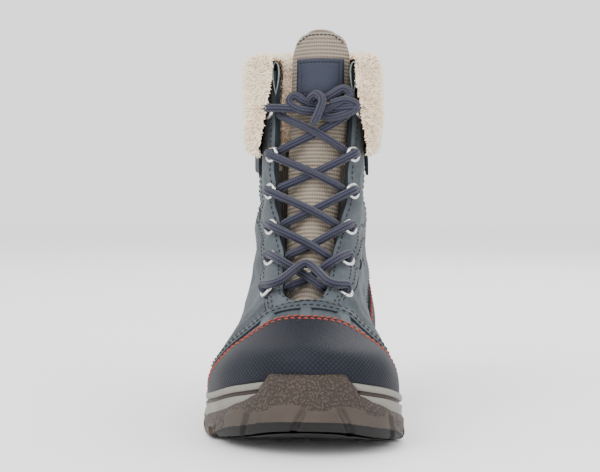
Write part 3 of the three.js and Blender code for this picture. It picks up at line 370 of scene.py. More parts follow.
# Creases: each a line of (share of SOLE_LENGTH, share of SHAFT_HEIGHT), the sides that have it, its depth
# and its width.
BOTH, OUTER, INNER = (-1, 1), (-1,), (1,)
CREASES = [
    ([(0.74, 0.33), (0.7, 0.27), (0.66, 0.2)], BOTH, 1.0, 3.4),
    ([(0.69, 0.36), (0.65, 0.29), (0.61, 0.2)], OUTER, 0.9, 3.8),
    ([(0.68, 0.38), (0.63, 0.3), (0.6, 0.22)], INNER, 0.8, 3.6),
    ([(0.62, 0.46), (0.56, 0.4), (0.48, 0.37)], OUTER, 1.1, 4.6),
    ([(0.61, 0.44), (0.55, 0.37), (0.47, 0.33)], INNER, 1.1, 4.4),
    ([(0.57, 0.54), (0.47, 0.47), (0.33, 0.45)], BOTH, 1.2, 5.2),
    ([(0.53, 0.62), (0.42, 0.565), (0.28, 0.555)], OUTER, 0.9, 4.6),
    ([(0.52, 0.66), (0.4, 0.6), (0.25, 0.6)], INNER, 0.9, 4.8),
    ([(0.1, 0.5), (0.19, 0.49), (0.27, 0.52)], BOTH, 0.9, 4.2),
    ([(0.08, 0.6), (0.15, 0.57), (0.24, 0.58)], OUTER, 0.7, 3.8),
    ([(0.3, 0.26), (0.4, 0.3), (0.5, 0.29)], INNER, 0.8, 4.6),
    ([(0.34, 0.7), (0.3, 0.64), (0.28, 0.56)], BOTH, 0.6, 4.0),
]


def creases(p):
    """Soft troughs with a low ridge on each side."""
    t, z, hand = HEEL_BACK - p[..., 1], p[..., 2], np.sign(p[..., 0] - 4)
    made = np.zeros(p.shape[:-1])
    for places, hands, depth, width in CREASES:
        line = spline(sized(places), 10)
        apart = np.full(p.shape[:-1], np.inf)
        for q in line:
            apart = np.minimum(apart, (t - q[0]) ** 2 + (z - q[1]) ** 2)
        apart = np.sqrt(apart)
        trough = depth * (0.45 * bell(apart - 1.9 * width, width) - bell(apart, width))
        made += np.where(np.isin(hand, hands), trough, 0)
    wave = 0.35 * np.sin(0.11 * t + 0.07 * z * hand) * np.sin(0.13 * z + 0.05 * t)
    return made + wave


# Meshes.


def build(name, points, faces, materials, slots=None, uv=None):
    """A smooth mesh object on the boot's body. uv gives each point its place on the surface, in metres."""
    mesh = bpy.data.meshes.new(name)
    mesh.from_pydata((np.asarray(points) * MM).tolist(), [], [list(map(int, face)) for face in faces])
    for one in materials:
        mesh.materials.append(one)
    if slots is not None:
        mesh.polygons.foreach_set("material_index", np.asarray(slots, np.int32))
    mesh.polygons.foreach_set("use_smooth", np.ones(len(mesh.polygons), bool))
    if uv is not None:
        corner = np.empty(len(mesh.loops), np.int32)
        mesh.loops.foreach_get("vertex_index", corner)
        layer = mesh.uv_layers.new(name="surface")
        layer.data.foreach_set("uv", (np.asarray(uv) * MM)[corner].astype(np.float32).ravel())
    mesh.validate()
    mesh.update()
    made = bpy.data.objects.new(name, mesh)
    bpy.context.scene.collection.objects.link(made)
    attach(made, "root")
    return made


def grid_faces(rows, columns, around=False, start=0):
    """Quads between rows of columns points. around joins the last column to the first."""
    index = np.arange(rows * columns).reshape(rows, columns) + start
    right = np.roll(index, -1, 1) if around else index[:, 1:]
    left = index if around else index[:, :-1]
    return np.stack([left[:-1], right[:-1], right[1:], left[1:]], -1).reshape(-1, 4).tolist()


def join(parts):
    """Several (points, faces, slot, uv) as one."""
    points, faces, slots, uvs, start = [], [], [], [], 0
    for part_points, part_faces, slot, uv in parts:
        part_points = np.asarray(part_points).reshape(-1, 3)
        points.append(part_points)
        faces += [[start + i for i in face] for face in part_faces]
        slots += [slot] * len(part_faces) if np.isscalar(slot) else list(slot)
        uvs.append(np.zeros((len(part_points), 2)) if uv is None else np.asarray(uv).reshape(-1, 2))
        start += len(part_points)
    return np.concatenate(points), faces, slots, np.concatenate(uvs)


def assemble(name, parts, materials, mapped=True):
    """A mesh object from several (points, faces, slot, uv)."""
    points, faces, slots, uv = join(parts)
    return build(name, points, faces, materials, slots, uv if mapped else None)


def net(low, high, rows, turn_from, turn_to, columns):
    """Sections and angles of a net on the last, between two sections and two angles."""
    levels, turns = np.linspace(low, high, rows + 1), np.linspace(turn_from, turn_to, columns + 1)
    return np.meshgrid(levels, turns, indexing="ij")


def length_tables(rows=66, columns=120):
    """Lengths on the last at a grid of places: round it from the front's middle, and up it from the sole."""
    v, angle = net(0, TOP_SECTION, rows, 0, ROUND, columns)
    p = last_point(v, angle)
    around = np.cumsum(np.linalg.norm(np.diff(p, axis=1, prepend=p[:, :1]), axis=2), 1)
    up = np.cumsum(np.linalg.norm(np.diff(p, axis=0, prepend=p[:1]), axis=2), 0)
    return around - around[:, columns // 2, None], up


LENGTHS = length_tables()


def paper(v, angle):
    """Distance round and up the surface, in millimetres, for patterns."""
    rows, columns = (count - 1 for count in LENGTHS[0].shape)
    a, b = np.clip(v / TOP_SECTION, 0, 1) * rows, (angle / ROUND % 1) * columns
    i, j = np.minimum(a.astype(int), rows - 1), np.minimum(b.astype(int), columns - 1)
    s, r = a - i, b - j
    made = []
    for table in LENGTHS:
        low = table[i, j] * (1 - r) + table[i, j + 1] * r
        high = table[i + 1, j] * (1 - r) + table[i + 1, j + 1] * r
        made.append(low * (1 - s) + high * s)
    return np.stack(made, -1)


def cut(v, angle, field):
    """The part of a net where field is positive: places, faces, and chains of places along its cut edge."""
    inside = field(last_point(v, angle)).ravel()
    places = np.stack([v.ravel(), angle.ravel()], -1)
    index = np.arange(len(places)).reshape(v.shape)
    corners = np.stack([index[:-1, :-1], index[:-1, 1:], index[1:, 1:], index[1:, :-1]], -1).reshape(-1, 4)
    kept = inside[corners] > 0
    faces = corners[kept.all(1)].tolist()
    added, where, links = [], {}, []
    for quad in corners[kept.any(1) & ~kept.all(1)]:
        face, crossing = [], []
        for i, j in zip(quad, np.roll(quad, -1)):
            if inside[i] > 0:
                face.append(i)
            if (inside[i] > 0) != (inside[j] > 0):
                key = (min(i, j), max(i, j))
                if key not in where:
                    share = inside[key[0]] / (inside[key[0]] - inside[key[1]])
                    where[key] = len(places) + len(added)
                    added.append(places[key[0]] + share * (places[key[1]] - places[key[0]]))
                face.append(where[key])
                crossing.append(where[key])
        faces.append(face)
        links += [crossing[k : k + 2] for k in range(0, len(crossing), 2)]
    if added:
        places = np.concatenate([places, added])
    used = np.unique(np.concatenate([np.asarray(face) for face in faces]))
    renamed = np.full(len(places), -1)
    renamed[used] = np.arange(len(used))
    faces = [[int(renamed[i]) for i in face] for face in faces]
    chains = [[int(renamed[i]) for i in chain] for chain in chained(links)]
    return places[used], faces, chains


def chained(links):
    """Links between pairs of points as chains."""
    near = {}
    for a, b in links:
        near.setdefault(a, []).append(b)
        near.setdefault(b, []).append(a)
    left, chains = set(near), []
    ends = [a for a in near if len(near[a]) == 1]
    for start in ends + list(near):
        if start not in left:
            continue
        chain, here = [start], start
        left.discard(start)
        while True:
            onward = [b for b in near[here] if b in left]
            if not onward:
                break
            here = onward[0]
            left.discard(here)
            chain.append(here)
        if len(chain) > 2 and chain[0] in near[chain[-1]]:
            chain.append(chain[0])
        chains.append(chain)
    return chains


EDGE_DIP = 0.55  # how far a panel's face is pressed down at its edge


def panel(name, field, bounds, top, foot, materials, edge_round=1.0):
    """A leather panel on the last: a face at top, pressed down along its edge, and a cut edge to foot."""
    v, angle = net(*bounds)
    places, faces, chains = cut(v, angle, field)
    p = last_point(*columns_of(places))
    inside = np.clip(field(p), 0, None)
    relief = creases(p)
    offset = top + relief - EDGE_DIP * np.exp(-((inside / edge_round) ** 1.5))
    parts = [(surface(*columns_of(places), offset), faces, 0, paper(*columns_of(places)))]
    for chain in chains:
        line = places[chain]
        low = creases(last_point(*columns_of(line)))
        rim = [surface(*columns_of(line), low + depth) for depth in (top - EDGE_DIP, foot)]
        at = paper(*columns_of(line))
        parts.append((np.concatenate(rim), grid_faces(2, len(chain)), 1, np.concatenate([at, at])))
    return assemble(name, parts, materials)


# Stitches.


def capsule(length, radius, rings=5, sides=6):
    """Points and faces of a stitch along X that sinks at both ends."""
    points = []
    for k in range(rings):
        s = -1 + 2 * k / (rings - 1)
        r = radius * math.sqrt(max(0.08, 1 - s * s * s * s))
        for turn in np.arange(sides) * 2 * math.pi / sides:
            points.append((s * length / 2, r * math.cos(turn), r * math.sin(turn) - radius * 0.9 * s * s))
    faces = grid_faces(rings, sides, around=True)
    faces += [list(range(sides))[::-1], list(range((rings - 1) * sides, rings * sides))]
    return np.array(points), faces


def lengths_along(points):
    """Length from the first of a line's points to each of them."""
    return np.concatenate([[0], np.cumsum(np.linalg.norm(np.diff(points, axis=0), axis=1))])


def resampled(points, step):
    """Where even steps fall along a line, counted in the line's points."""
    gone = lengths_along(points)
    count = int(gone[-1] / step)
    at = (np.arange(count) + 0.5) * step
    return np.interp(at, gone, np.arange(len(points)))


def sew(rows):
    """Stitches as parts of one mesh, from rows of (centres, directions, normals, length, radius)."""
    parts = []
    for centres, directions, normals, length, radius in rows:
        shape, faces = capsule(length, radius)
        side = unit(np.cross(normals, directions))
        up = unit(np.cross(directions, side))
        placed = (
            centres[:, None]
            + shape[None, :, :1] * directions[:, None]
            + shape[None, :, 1:2] * side[:, None]
            + shape[None, :, 2:] * up[:, None]
        )
        for one in placed:
            parts.append((one, faces, 0, None))
    return parts


def seam_rows(field, where, bounds, offset, step=2.7, length=2.0, radius=0.33, slant=0.0):
    """Stitches on the last along the line where field is zero, as far as where stays positive."""
    v, angle = net(*bounds)
    places, _, chains = cut(v, angle, field)
    rows = []
    for chain in chains:
        line = places[chain]
        p = last_point(*columns_of(line))
        at = resampled(p, step)
        if len(at) < 2:
            continue
        v_at = np.interp(at, np.arange(len(line)), line[:, 0])
        a_at = np.interp(at, np.arange(len(line)), line[:, 1])
        base = last_point(v_at, a_at)
        good = where(base) > 0.4
        centres = surface(v_at, a_at, offset + creases(base))
        directions = unit(np.gradient(centres, axis=0))
        normals = last_normal(v_at, a_at)
        directions = unit(directions + slant * np.cross(normals, directions))
        if good.any():
            rows.append((centres[good], directions[good], normals[good], length, radius))
    return rows


# Materials.


def tree_of(name, roughness, **sockets):
    made = bpy.data.materials.new(name)
    made.use_nodes = True
    shader = made.node_tree.nodes["Principled BSDF"]
    shader.inputs["Roughness"].default_value = roughness
    for key, value in sockets.items():
        shader.inputs[key.replace("_", " ")].default_value = value
    return made, made.node_tree, shader


def node(tree, kind, inputs=None, **settings):
    made = tree.nodes.new("ShaderNode" + kind)
    for key, value in settings.items():
        setattr(made, key, value)
    for key, value in (inputs or {}).items():
        if isinstance(value, bpy.types.NodeSocket):
            tree.links.new(value, made.inputs[key])
        else:
            made.inputs[key].default_value = value
    return made


def linear(red, green, blue):
    """A colour from 0 to 255 as the shader takes it."""
    return tuple((channel / 255) ** 2.2 for channel in (red, green, blue)) + (1.0,)


def place_of(tree, kind="Object"):
    return node(tree, "TexCoord").outputs[kind]


def noise(tree, place, scale, detail=3.0, rough=0.55):
    inputs = {"Vector": place, "Scale": scale, "Detail": detail, "Roughness": rough}
    return node(tree, "TexNoise", inputs).outputs["Fac"]


def sums(tree, a, b, kind="ADD"):
    return node(tree, "Math", {0: a, 1: b}, operation=kind).outputs[0]


def times(tree, a, b):
    return sums(tree, a, b, "MULTIPLY")


def between(tree, fac, low, high, dark, light):
    """Colour from dark to light as fac goes from low to high."""
    made = node(tree, "ValToRGB", {"Fac": fac})
    made.color_ramp.elements[0].position, made.color_ramp.elements[0].color = low, dark
    made.color_ramp.elements[1].position, made.color_ramp.elements[1].color = high, light
    return made.outputs["Color"]


def bump(tree, shader, height, strength, distance):
    made = node(tree, "Bump", {"Height": height, "Strength": strength, "Distance": distance})
    tree.links.new(made.outputs["Normal"], shader.inputs["Normal"])


def paint(tree, shader, colour):
    tree.links.new(colour, shader.inputs["Base Color"])


def leather(name, dark, light, roughness=0.62, grain=1400.0, depth=0.00022, **sockets):
    made, tree, shader = tree_of(name, roughness, **sockets)
    place = place_of(tree)
    cloud = noise(tree, place, 55.0, 4.0, 0.6)
    fine = noise(tree, place, grain, 4.0, 0.65)
    mixed = sums(tree, times(tree, cloud, 0.6), times(tree, fine, 0.4))
    paint(tree, shader, between(tree, mixed, 0.25, 0.72, dark, light))
    pores = node(tree, "TexVoronoi", {"Vector": place, "Scale": grain * 0.8}).outputs["Distance"]
    bump(tree, shader, sums(tree, fine, times(tree, pores, 0.5)), 0.35, depth)
    return made


def stripes(tree, place, per_metre, turn, sharp=0.5):
    """Parallel ribs across the direction turn, in radians, on the surface's own coordinates."""
    apart = node(tree, "SeparateXYZ", {"Vector": place})
    u = times(tree, apart.outputs["X"], math.cos(turn) * per_metre * ROUND)
    w = times(tree, apart.outputs["Y"], math.sin(turn) * per_metre * ROUND)
    wave = node(tree, "Math", {0: sums(tree, u, w)}, operation="SINE").outputs[0]
    return node(tree, "MapRange", {"Value": wave, "From Min": -1.0, "From Max": sharp}).outputs["Result"]


def coated():
    """Rubber-coated canvas with a fine crossed emboss."""
    made, tree, shader = tree_of("coated canvas", 0.58, Specular_IOR_Level=0.18)
    place = place_of(tree, "UV")
    first = stripes(tree, place, 720.0, 0.85, 1.0)
    second = stripes(tree, place, 720.0, -0.85, 1.0)
    weave = times(tree, first, second)
    cloud = noise(tree, place_of(tree), 45.0)
    tone = sums(tree, times(tree, weave, 0.6), times(tree, cloud, 0.4))
    colour = between(tree, tone, 0.1, 0.75, linear(15, 17, 24), linear(34, 38, 48))
    paint(tree, shader, colour)
    bump(tree, shader, weave, 0.55, 0.00022)
    return made


def textile(name, dark, light, per_metre, turn=math.pi / 2, depth=0.0004, source="UV"):
    """Ribbed cloth with a knit along each rib."""
    made, tree, shader = tree_of(name, 0.92, Sheen_Weight=0.25)
    place = place_of(tree, source)
    ribs = stripes(tree, place, per_metre, turn, 1.0)
    knit = stripes(tree, place, per_metre * 1.6, turn + math.pi / 2, 1.0)
    fuzz = noise(tree, place_of(tree), 1800.0)
    cloud = noise(tree, place_of(tree), 60.0)
    weave = sums(tree, ribs, times(tree, knit, 0.35))
    height = sums(tree, weave, times(tree, fuzz, 0.4))
    tone = sums(tree, times(tree, height, 0.4), times(tree, cloud, 0.5))
    paint(tree, shader, between(tree, tone, 0.3, 0.95, dark, light))
    bump(tree, shader, height, 0.7, depth)
    return made


def webbing(name, dark, light):
    made, tree, shader = tree_of(name, 0.8, Specular_IOR_Level=0.15)
    place = place_of(tree, "UV")
    twill = stripes(tree, place, 620.0, 0.75, 0.8)
    threads = stripes(tree, place, 1300.0, 0.0, 0.8)
    height = sums(tree, twill, times(tree, threads, 0.4))
    paint(tree, shader, between(tree, height, 0.15, 1.1, dark, light))
    bump(tree, shader, height, 0.8, 0.0003)
    return made


def rubber(name, dark, light, pebbled):
    made, tree, shader = tree_of(name, 0.6, Specular_IOR_Level=0.35)
    place = place_of(tree)
    cloud = noise(tree, place, 60.0)
    fine = noise(tree, place, 1600.0)
    if pebbled:
        wander = node(tree, "TexNoise", {"Vector": place, "Scale": 700.0}).outputs["Color"]
        moved = {0: wander, 1: (0.0006,) * 3, 2: place}
        uneven = node(tree, "VectorMath", moved, operation="MULTIPLY_ADD").outputs[0]
        cells = node(tree, "TexVoronoi", {"Vector": uneven, "Scale": 800.0}).outputs["Distance"]
        span = {"Value": cells, "From Min": 0.15, "From Max": 0.65, "To Min": 1.0, "To Max": 0.0}
        height = node(tree, "MapRange", span).outputs["Result"]
        bump(tree, shader, height, 1.0, 0.0006)
    else:
        height = fine
        bump(tree, shader, fine, 0.25, 0.0001)
    # Pebbled rubber is lighter on the pebbles' tops and darker between them: painted shade over the bump.
    # Plain rubber varies at random.
    tone = sums(tree, times(tree, height, 0.5), times(tree, cloud, 0.5))
    paint(tree, shader, between(tree, tone, 0.25, 0.75, dark, light))
    return made


def fur(name, root, tip):
    """Pile whose colour lightens from root to tip, along the surface coordinate Y: painted shade at the
    roots, among the locks.
    """
    made, tree, shader = tree_of(name, 0.95, Sheen_Weight=0.5, Sheen_Roughness=0.6)
    apart = node(tree, "SeparateXYZ", {"Vector": place_of(tree, "UV")})
    up = times(tree, apart.outputs["Y"], 1000.0)
    cloud = noise(tree, place_of(tree), 90.0)
    tone = sums(tree, times(tree, up, 0.65), times(tree, cloud, 0.45))
    paint(tree, shader, between(tree, tone, 0.15, 0.85, root, tip))
    bump(tree, shader, noise(tree, place_of(tree), 900.0), 0.5, 0.0008)
    return made


def braid():
    """Round lace with fine ridges along it and a crossed plait; its colour is lighter on the ridges and
    crossings, painted highlight.
    """
    made, tree, shader = tree_of("braided lace", 0.75, Sheen_Weight=0.15, Specular_IOR_Level=0.35)
    place = place_of(tree, "UV")
    one_way, other_way = (stripes(tree, place, 900.0, turn, 1.0) for turn in (0.95, -0.95))
    plait = times(tree, one_way, other_way)
    ridges = stripes(tree, place, 610.0, 0.0, 1.0)
    weave = sums(tree, times(tree, plait, 0.5), ridges)
    # Lighter on the ridges and where the plait crosses: painted highlight, over the bump of the same pattern.
    colour = between(tree, weave, 0.1, 1.4, linear(16, 16, 26), linear(50, 51, 70))
    paint(tree, shader, colour)
    bump(tree, shader, weave, 0.8, 0.0003)
    return made


def thread(name, colour, pale):
    made, tree, shader = tree_of(name, 0.6)
    twist = noise(tree, place_of(tree), 2600.0)
    paint(tree, shader, between(tree, twist, 0.35, 0.65, colour, pale))
    bump(tree, shader, twist, 0.5, 0.0002)
    return made


def metal():
    made, tree, shader = tree_of("eyelet metal", 0.28, Metallic=1.0)
    wear = noise(tree, place_of(tree), 700.0)
    colour = between(tree, wear, 0.3, 0.7, linear(170, 170, 172), linear(235, 235, 238))
    paint(tree, shader, colour)
    bump(tree, shader, wear, 0.15, 0.0001)
    return made


SLATE = leather("slate leather", linear(35, 41, 45), linear(77, 85, 91), Specular_IOR_Level=0.25)
PALE_SLATE = leather("pale slate leather", linear(40, 45, 49), linear(86, 93, 98), Specular_IOR_Level=0.25)
CUT_EDGE = leather("cut edge", linear(12, 20, 26), linear(32, 43, 50), 0.85)
RAW_EDGE = leather("raw edge", linear(46, 58, 64), linear(150, 156, 154), 0.9, 900.0)
NAVY_TONES = linear(10, 15, 22), linear(28, 37, 49)
NAVY = leather("navy cuff leather", *NAVY_TONES, 0.55, 1000.0, 0.0003, Specular_IOR_Level=0.2)
COATED = coated()
RIBBED = textile("ribbed tongue cloth", linear(96, 87, 77), linear(156, 143, 127), 560.0)
SHAFT_CLOTH = textile("shaft cloth", linear(60, 58, 57), linear(104, 100, 97), 700.0)
# A mid brown-grey, darker than the pale wool lining: partly painted shade for the boot's inside, seen in the
# throat's gaps.
LINING_PAINTED_SHADE = textile("lining cloth painted shade", linear(92, 84, 76), linear(138, 128, 116), 500.0, source="Object")
LABEL = leather("label", linear(24, 28, 40), linear(44, 50, 68), 0.7, 2200.0)
STRAP = webbing("strap webbing", linear(128, 26, 0), linear(190, 56, 0))
# The loop is the strap's webbing doubled; its lighter, yellower colour is painted light where the loop stands
# out into the light.
LOOP_PAINTED_LIGHT = webbing("loop webbing painted light", linear(164, 66, 0), linear(226, 112, 4))
MIDSOLE = rubber("midsole foam", linear(98, 95, 88), linear(132, 129, 121), False)
GROOVE = rubber("midsole groove", linear(42, 34, 31), linear(66, 56, 50), False)
PEBBLED = rubber("pebbled rubber", linear(46, 38, 33), linear(78, 67, 59), True)
SMOOTH_RUBBER = rubber("smooth rubber", linear(50, 43, 38), linear(74, 65, 58), False)
# Near black, the sole's own rubber darkened: painted shade for the tread's underside and the strip under the
# toe.
TREAD_PAINTED_SHADE = rubber("tread rubber painted shade", linear(8, 6, 5), linear(18, 14, 12), False)
PILE = fur("sheepskin pile", linear(236, 204, 166), linear(255, 246, 224))
LINING_PILE = fur("lining pile", linear(186, 170, 154), linear(240, 224, 206))
BRAID = braid()
METAL = metal()
RED_THREAD = thread("orange red thread", linear(112, 34, 16), linear(170, 62, 34))
# Black thread for the stitches, also used as painted shade in the eyelets' bores.
BLACK_THREAD_AND_SHADE = thread("black thread and painted shade", linear(6, 8, 10), linear(20, 22, 26))
ORANGE_THREAD = thread("orange thread", linear(140, 38, 0), linear(205, 78, 6))


# Upper.

UPPER_NET = (0, TOP_SECTION, 130, 0, ROUND, 300)
FRONT_NET = (0, TOP_SECTION, 200, 0.42 * math.pi, 1.58 * math.pi, 300)
TOE_NET = (0, 7, 130, 0.4 * math.pi, 1.6 * math.pi, 300)
BACK_NET = (0, 9, 110, -0.6 * math.pi, 0.6 * math.pi, 240)
FACE = OVERLAY + FIT_GAP


def plug_seams(p):
    """Height of the raised seam down the vamp's middle and of the pleat on each side of it."""
    z = p[..., 2]
    up = np.clip((z - BALL_SEAT) / (0.4 * SHAFT_HEIGHT - BALL_SEAT), 0, 1.2)
    middle = 0.08 * BALL_WIDTH
    spread = 0.42 * BALL_WIDTH + (0.1 - 0.42) * BALL_WIDTH * up
    shown = ramp(HEEL_BACK - p[..., 1], 0.6 * SOLE_LENGTH, 0.64 * SOLE_LENGTH)
    height = np.zeros(z.shape)
    for at, width in ((middle, 2.6), (middle - spread, 2.4), (middle + spread, 2.4)):
        apart = np.abs(p[..., 0] - at)
        height += 1.0 * (1 - ramp(apart, width - 0.7, width + 0.4)) - 0.35 * bell(apart - width - 0.5, 0.5)
    return height * shown


def upper_shell():
    v, angle = net(*UPPER_NET)
    places, faces, chains = cut(v, angle, outside_throat)
    p = last_point(*columns_of(places))
    offset = creases(p) + plug_seams(p)
    points = surface(*columns_of(places), offset)
    middle = np.array([p[face].mean(0) for face in faces])
    cloth = under_quarter_high(middle) < 0
    slots = np.where(cloth, 1, 0)
    inner_v, inner_a = net(0, TOP_SECTION, 60, 0, ROUND, 120)
    inner_places, inner_faces, _ = cut(inner_v, inner_a, outside_throat)
    inner = surface(inner_places[:, 0], inner_places[:, 1], -WALL)
    parts = [
        (points, faces, slots, paper(*columns_of(places))),
        (inner, inner_faces, 2, paper(inner_places[:, 0], inner_places[:, 1])),
    ]
    for chain in chains:
        line = places[chain]
        at = paper(*columns_of(line))
        rim = [
            surface(*columns_of(line), creases(last_point(*columns_of(line)))),
            surface(*columns_of(line), -WALL),
        ]
        parts.append((np.concatenate(rim), grid_faces(2, len(chain)), 3, np.concatenate([at, at])))
    made = assemble("upper_shell", parts, [PALE_SLATE, SHAFT_CLOTH, LINING_PAINTED_SHADE, CUT_EDGE])
    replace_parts(made, "upper")


def eyelet_places():
    """Point and normal of each eyelet, by pair and hand."""
    made = {}
    for pair, (up, out) in enumerate(EYELETS):
        z = up * FOLD_FRONT
        foot = OVERLAY + (CUFF_LEATHER + 4 * FIT_GAP if pair == TOP_PAIR else 3 * FIT_GAP)
        for hand in (-1, 1):
            v, angle = place_at(throat_middle(z) + hand * out * SHAFT_WIDTH, z, True, foot)
            made[pair, hand] = (last_point(v, angle), last_normal(v, angle), foot)
    return made


EYELET_PLACES = eyelet_places()


def overlays():
    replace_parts(panel("toe_cap_panel", beyond_cap, TOE_NET, FACE, 0, [COATED, CUT_EDGE]), "toe_cap")
    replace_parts(panel("vamp_strip_panel", strip_field, TOE_NET, FACE, 0, [SLATE, CUT_EDGE]), "vamp_strip")
    made = panel("heel_counter_panel", under_counter, BACK_NET, FACE, 0, [COATED, CUT_EDGE])
    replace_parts(made, "heel_counter")
    for hand, name, turn in ((-1, "outer", (0.3, 1.06)), (1, "inner", (0.94, 1.7))):
        bounds = (3, TOP_SECTION, 200, turn[0] * math.pi, turn[1] * math.pi, 220)

        def one_side(p, hand=hand):
            return np.minimum(eyestay_field(p), hand * (p[..., 0] - throat_middle(p[..., 2])))

        made = panel(f"eyestay_{name}_panel", one_side, bounds, FACE, -0.2, [PALE_SLATE, CUT_EDGE])
        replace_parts(made, f"eyestay_{name}")
    made = panel("quarter_panel", quarter_field, UPPER_NET, FACE, 0, [SLATE, CUT_EDGE])
    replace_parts(made, "quarter")


# Step, length and radius of the stitches.
RED_STITCH = (2.9, 2.7, 0.4)
BLACK_STITCH = (2.9, 2.2)


def inside_by(field, inset):
    """The field whose zero line runs inset inside that of field."""

    def moved(p):
        return field(p) - inset

    return moved


def before_strip_front(p):
    """Positive behind the front edge of the vamp strip."""
    return -beyond_strip_front(p)


def seams():
    """All the stitching on the upper."""
    red, black = [], []
    lift = FACE + 0.12
    for inset, slant in ((1.5, 0.45), (4.3, -0.45)):
        for field, bounds in ((beyond_cap, TOE_NET), (under_counter, BACK_NET)):
            red += seam_rows(inside_by(field, inset), field, bounds, lift, *RED_STITCH, slant)
        black += seam_rows(inside_by(over_quarter_low, inset), quarter_field, UPPER_NET, lift)
    black += seam_rows(inside_by(beyond_strip, 1.6), strip_field, TOE_NET, lift, *BLACK_STITCH)
    black += seam_rows(inside_by(before_strip_front, 1.6), strip_field, TOE_NET, lift, *BLACK_STITCH)
    black += seam_rows(inside_by(under_quarter_high, 1.8), quarter_field, UPPER_NET, lift)
    for field, inset in ((eyestay_reach, 1.5), (eyestay_reach, 3.3), (outside_throat, 1.7)):
        black += seam_rows(inside_by(field, inset), eyestay_field, FRONT_NET, lift, *BLACK_STITCH)
    assemble("red_seams", sew(red), [RED_THREAD], False)
    assemble("black_seams", sew(black), [BLACK_THREAD_AND_SHADE], False)


# Tubes.


def tube(path, radius, sides=14, closed_ends=True):
    """Points, faces and surface coordinates of a round tube on a path, without twist."""
    path = np.asarray(path, float)
    forward = unit(np.gradient(path, axis=0))
    side = unit(np.cross(forward[0], (0.3, 0.2, 0.9)))
    rings, gone, uvs = [], 0.0, []
    turns = np.arange(sides) * ROUND / sides
    radius = np.broadcast_to(radius, (len(path),))
    for k, (p, f) in enumerate(zip(path, forward)):
        if k:
            gone += float(np.linalg.norm(p - path[k - 1]))
        side = unit(side - f * float(side @ f))
        up = np.cross(f, side)
        rings.append(p + radius[k] * (np.outer(np.cos(turns), side) + np.outer(np.sin(turns), up)))
        uvs.append(np.stack([turns * radius[k], np.full(sides, gone)], -1))
    faces = grid_faces(len(path), sides, around=True)
    if closed_ends:
        faces += [list(range(sides))[::-1], list(range((len(path) - 1) * sides, len(path) * sides))]
    return np.concatenate(rings), faces, np.concatenate(uvs)


def smooth_path(places, step=0.9):
    """Even places along a curve through these ones."""
    dense = spline(places, 24 * (len(places) - 1))
    at = resampled(dense, step)
    count = np.arange(len(dense))
    inner = np.stack([np.interp(at, count, dense[:, k]) for k in range(3)], -1)
    return np.concatenate([dense[:1], inner, dense[-1:]])


# Tongue.

TONGUE_FOOT = 0.335 * FOLD_FRONT
TONGUE_SHAPE = ((0, 0.2, 0.5, 0.75, 0.9, 0.96, 0.985, 1), (0.66, 0.78, 0.9, 1, 0.97, 0.84, 0.66, 0.42))


def tongue_half(z):
    return 0.5 * TONGUE_WIDTH * look_up(*TONGUE_SHAPE, (z - TONGUE_FOOT) / (TONGUE_TOP - TONGUE_FOOT))


def tongue_path(z):
    z = np.asarray(z, float)
    over_top = np.clip((z - 0.9 * FOLD_FRONT) / (0.25 * FOLD_FRONT), 0, 1)
    seen = np.minimum(z, 0.985 * FOLD_FRONT)
    v, angle = place_at(throat_middle(seen), seen, True)
    normal = last_normal(v, angle)
    depth = -(WALL + TONGUE_SETBACK) + 5 * ease(over_top)
    point = last_point(v, angle) + normal * depth[..., None]
    point[..., 2] += z - seen
    point[..., 0] = throat_middle(z) + TONGUE_LEAN * ramp(z, 0.5 * FOLD_FRONT, 1.1 * FOLD_FRONT)
    flat = normal * (0, 1, 1)
    return point, unit(flat)


def on_tongue(x_share, z, lift):
    """Places on the tongue's face: x_share goes from -1 to 1 across it."""
    point, normal = tongue_path(z)
    half = tongue_half(z)
    bow = TONGUE_BOW * (0.6 - x_share**2)
    made = point + normal * (bow + lift)[..., None]
    made[..., 0] += half * x_share
    return made


def tongue():
    rows, columns = 420, 44
    up = 1 - (1 - np.linspace(0, 1, rows)) ** 1.15
    z = TONGUE_FOOT + up * (TONGUE_TOP - TONGUE_FOOT)
    turn = np.arange(columns) * ROUND / columns
    x_share = np.cos(turn)
    thick = np.sign(np.sin(turn)) * np.abs(np.sin(turn)) ** 0.7
    zz, ss = np.meshgrid(z, x_share, indexing="ij")
    face = np.broadcast_to(thick, zz.shape)
    rib = 0.07 * np.sin(zz * ROUND / 1.75 + 0.8 * np.sin(2.2 * ss + 0.1 * zz)) * (face > 0)
    fade = 1 - ramp(zz, TONGUE_TOP - 2.2, TONGUE_TOP)
    lift = (face - 1) * TONGUE_THICKNESS / 2 * (0.55 + 0.45 * fade) + rib
    points = on_tongue(ss, zz, lift)
    uv = np.stack([ss * tongue_half(zz), zz], -1)
    lid = list(range((rows - 1) * columns, rows * columns))
    parts = [(points, grid_faces(rows, columns, around=True) + [lid], 0, uv)]
    made = assemble("tongue_pad", parts, [RIBBED])
    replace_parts(made, "tongue")
    # A row of dark stitches under the rounded top.
    across = np.linspace(-0.84, 0.84, 120)
    heights = np.linspace(0.9, 1, 200)
    edge = tongue_half(TONGUE_FOOT + heights * (TONGUE_TOP - TONGUE_FOOT))
    x = across * edge[0]
    top = np.interp(-np.abs(x), -edge, heights)
    z = TONGUE_FOOT + top * (TONGUE_TOP - TONGUE_FOOT) - 2.4
    line = on_tongue(x / tongue_half(z), z, np.full(x.shape, 0.15))
    rows_of = [row_along(line, 2.1, 1.5, 0.32)]
    assemble("tongue_stitches", sew(rows_of), [BLACK_THREAD_AND_SHADE], False)


TO_FRONT, TO_BACK = (0.0, -1.0, 0.25), (0.0, 1.0, 0.1)


def row_along(line, step, length, radius, normal=TO_FRONT):
    """Stitches along any line of places, facing one way."""
    at = resampled(line, step)
    count = np.arange(len(line))
    centres = np.stack([np.interp(at, count, line[:, k]) for k in range(3)], -1)
    directions = unit(np.gradient(centres, axis=0))
    return centres, directions, np.broadcast_to(unit(np.array(normal)), centres.shape), length, radius


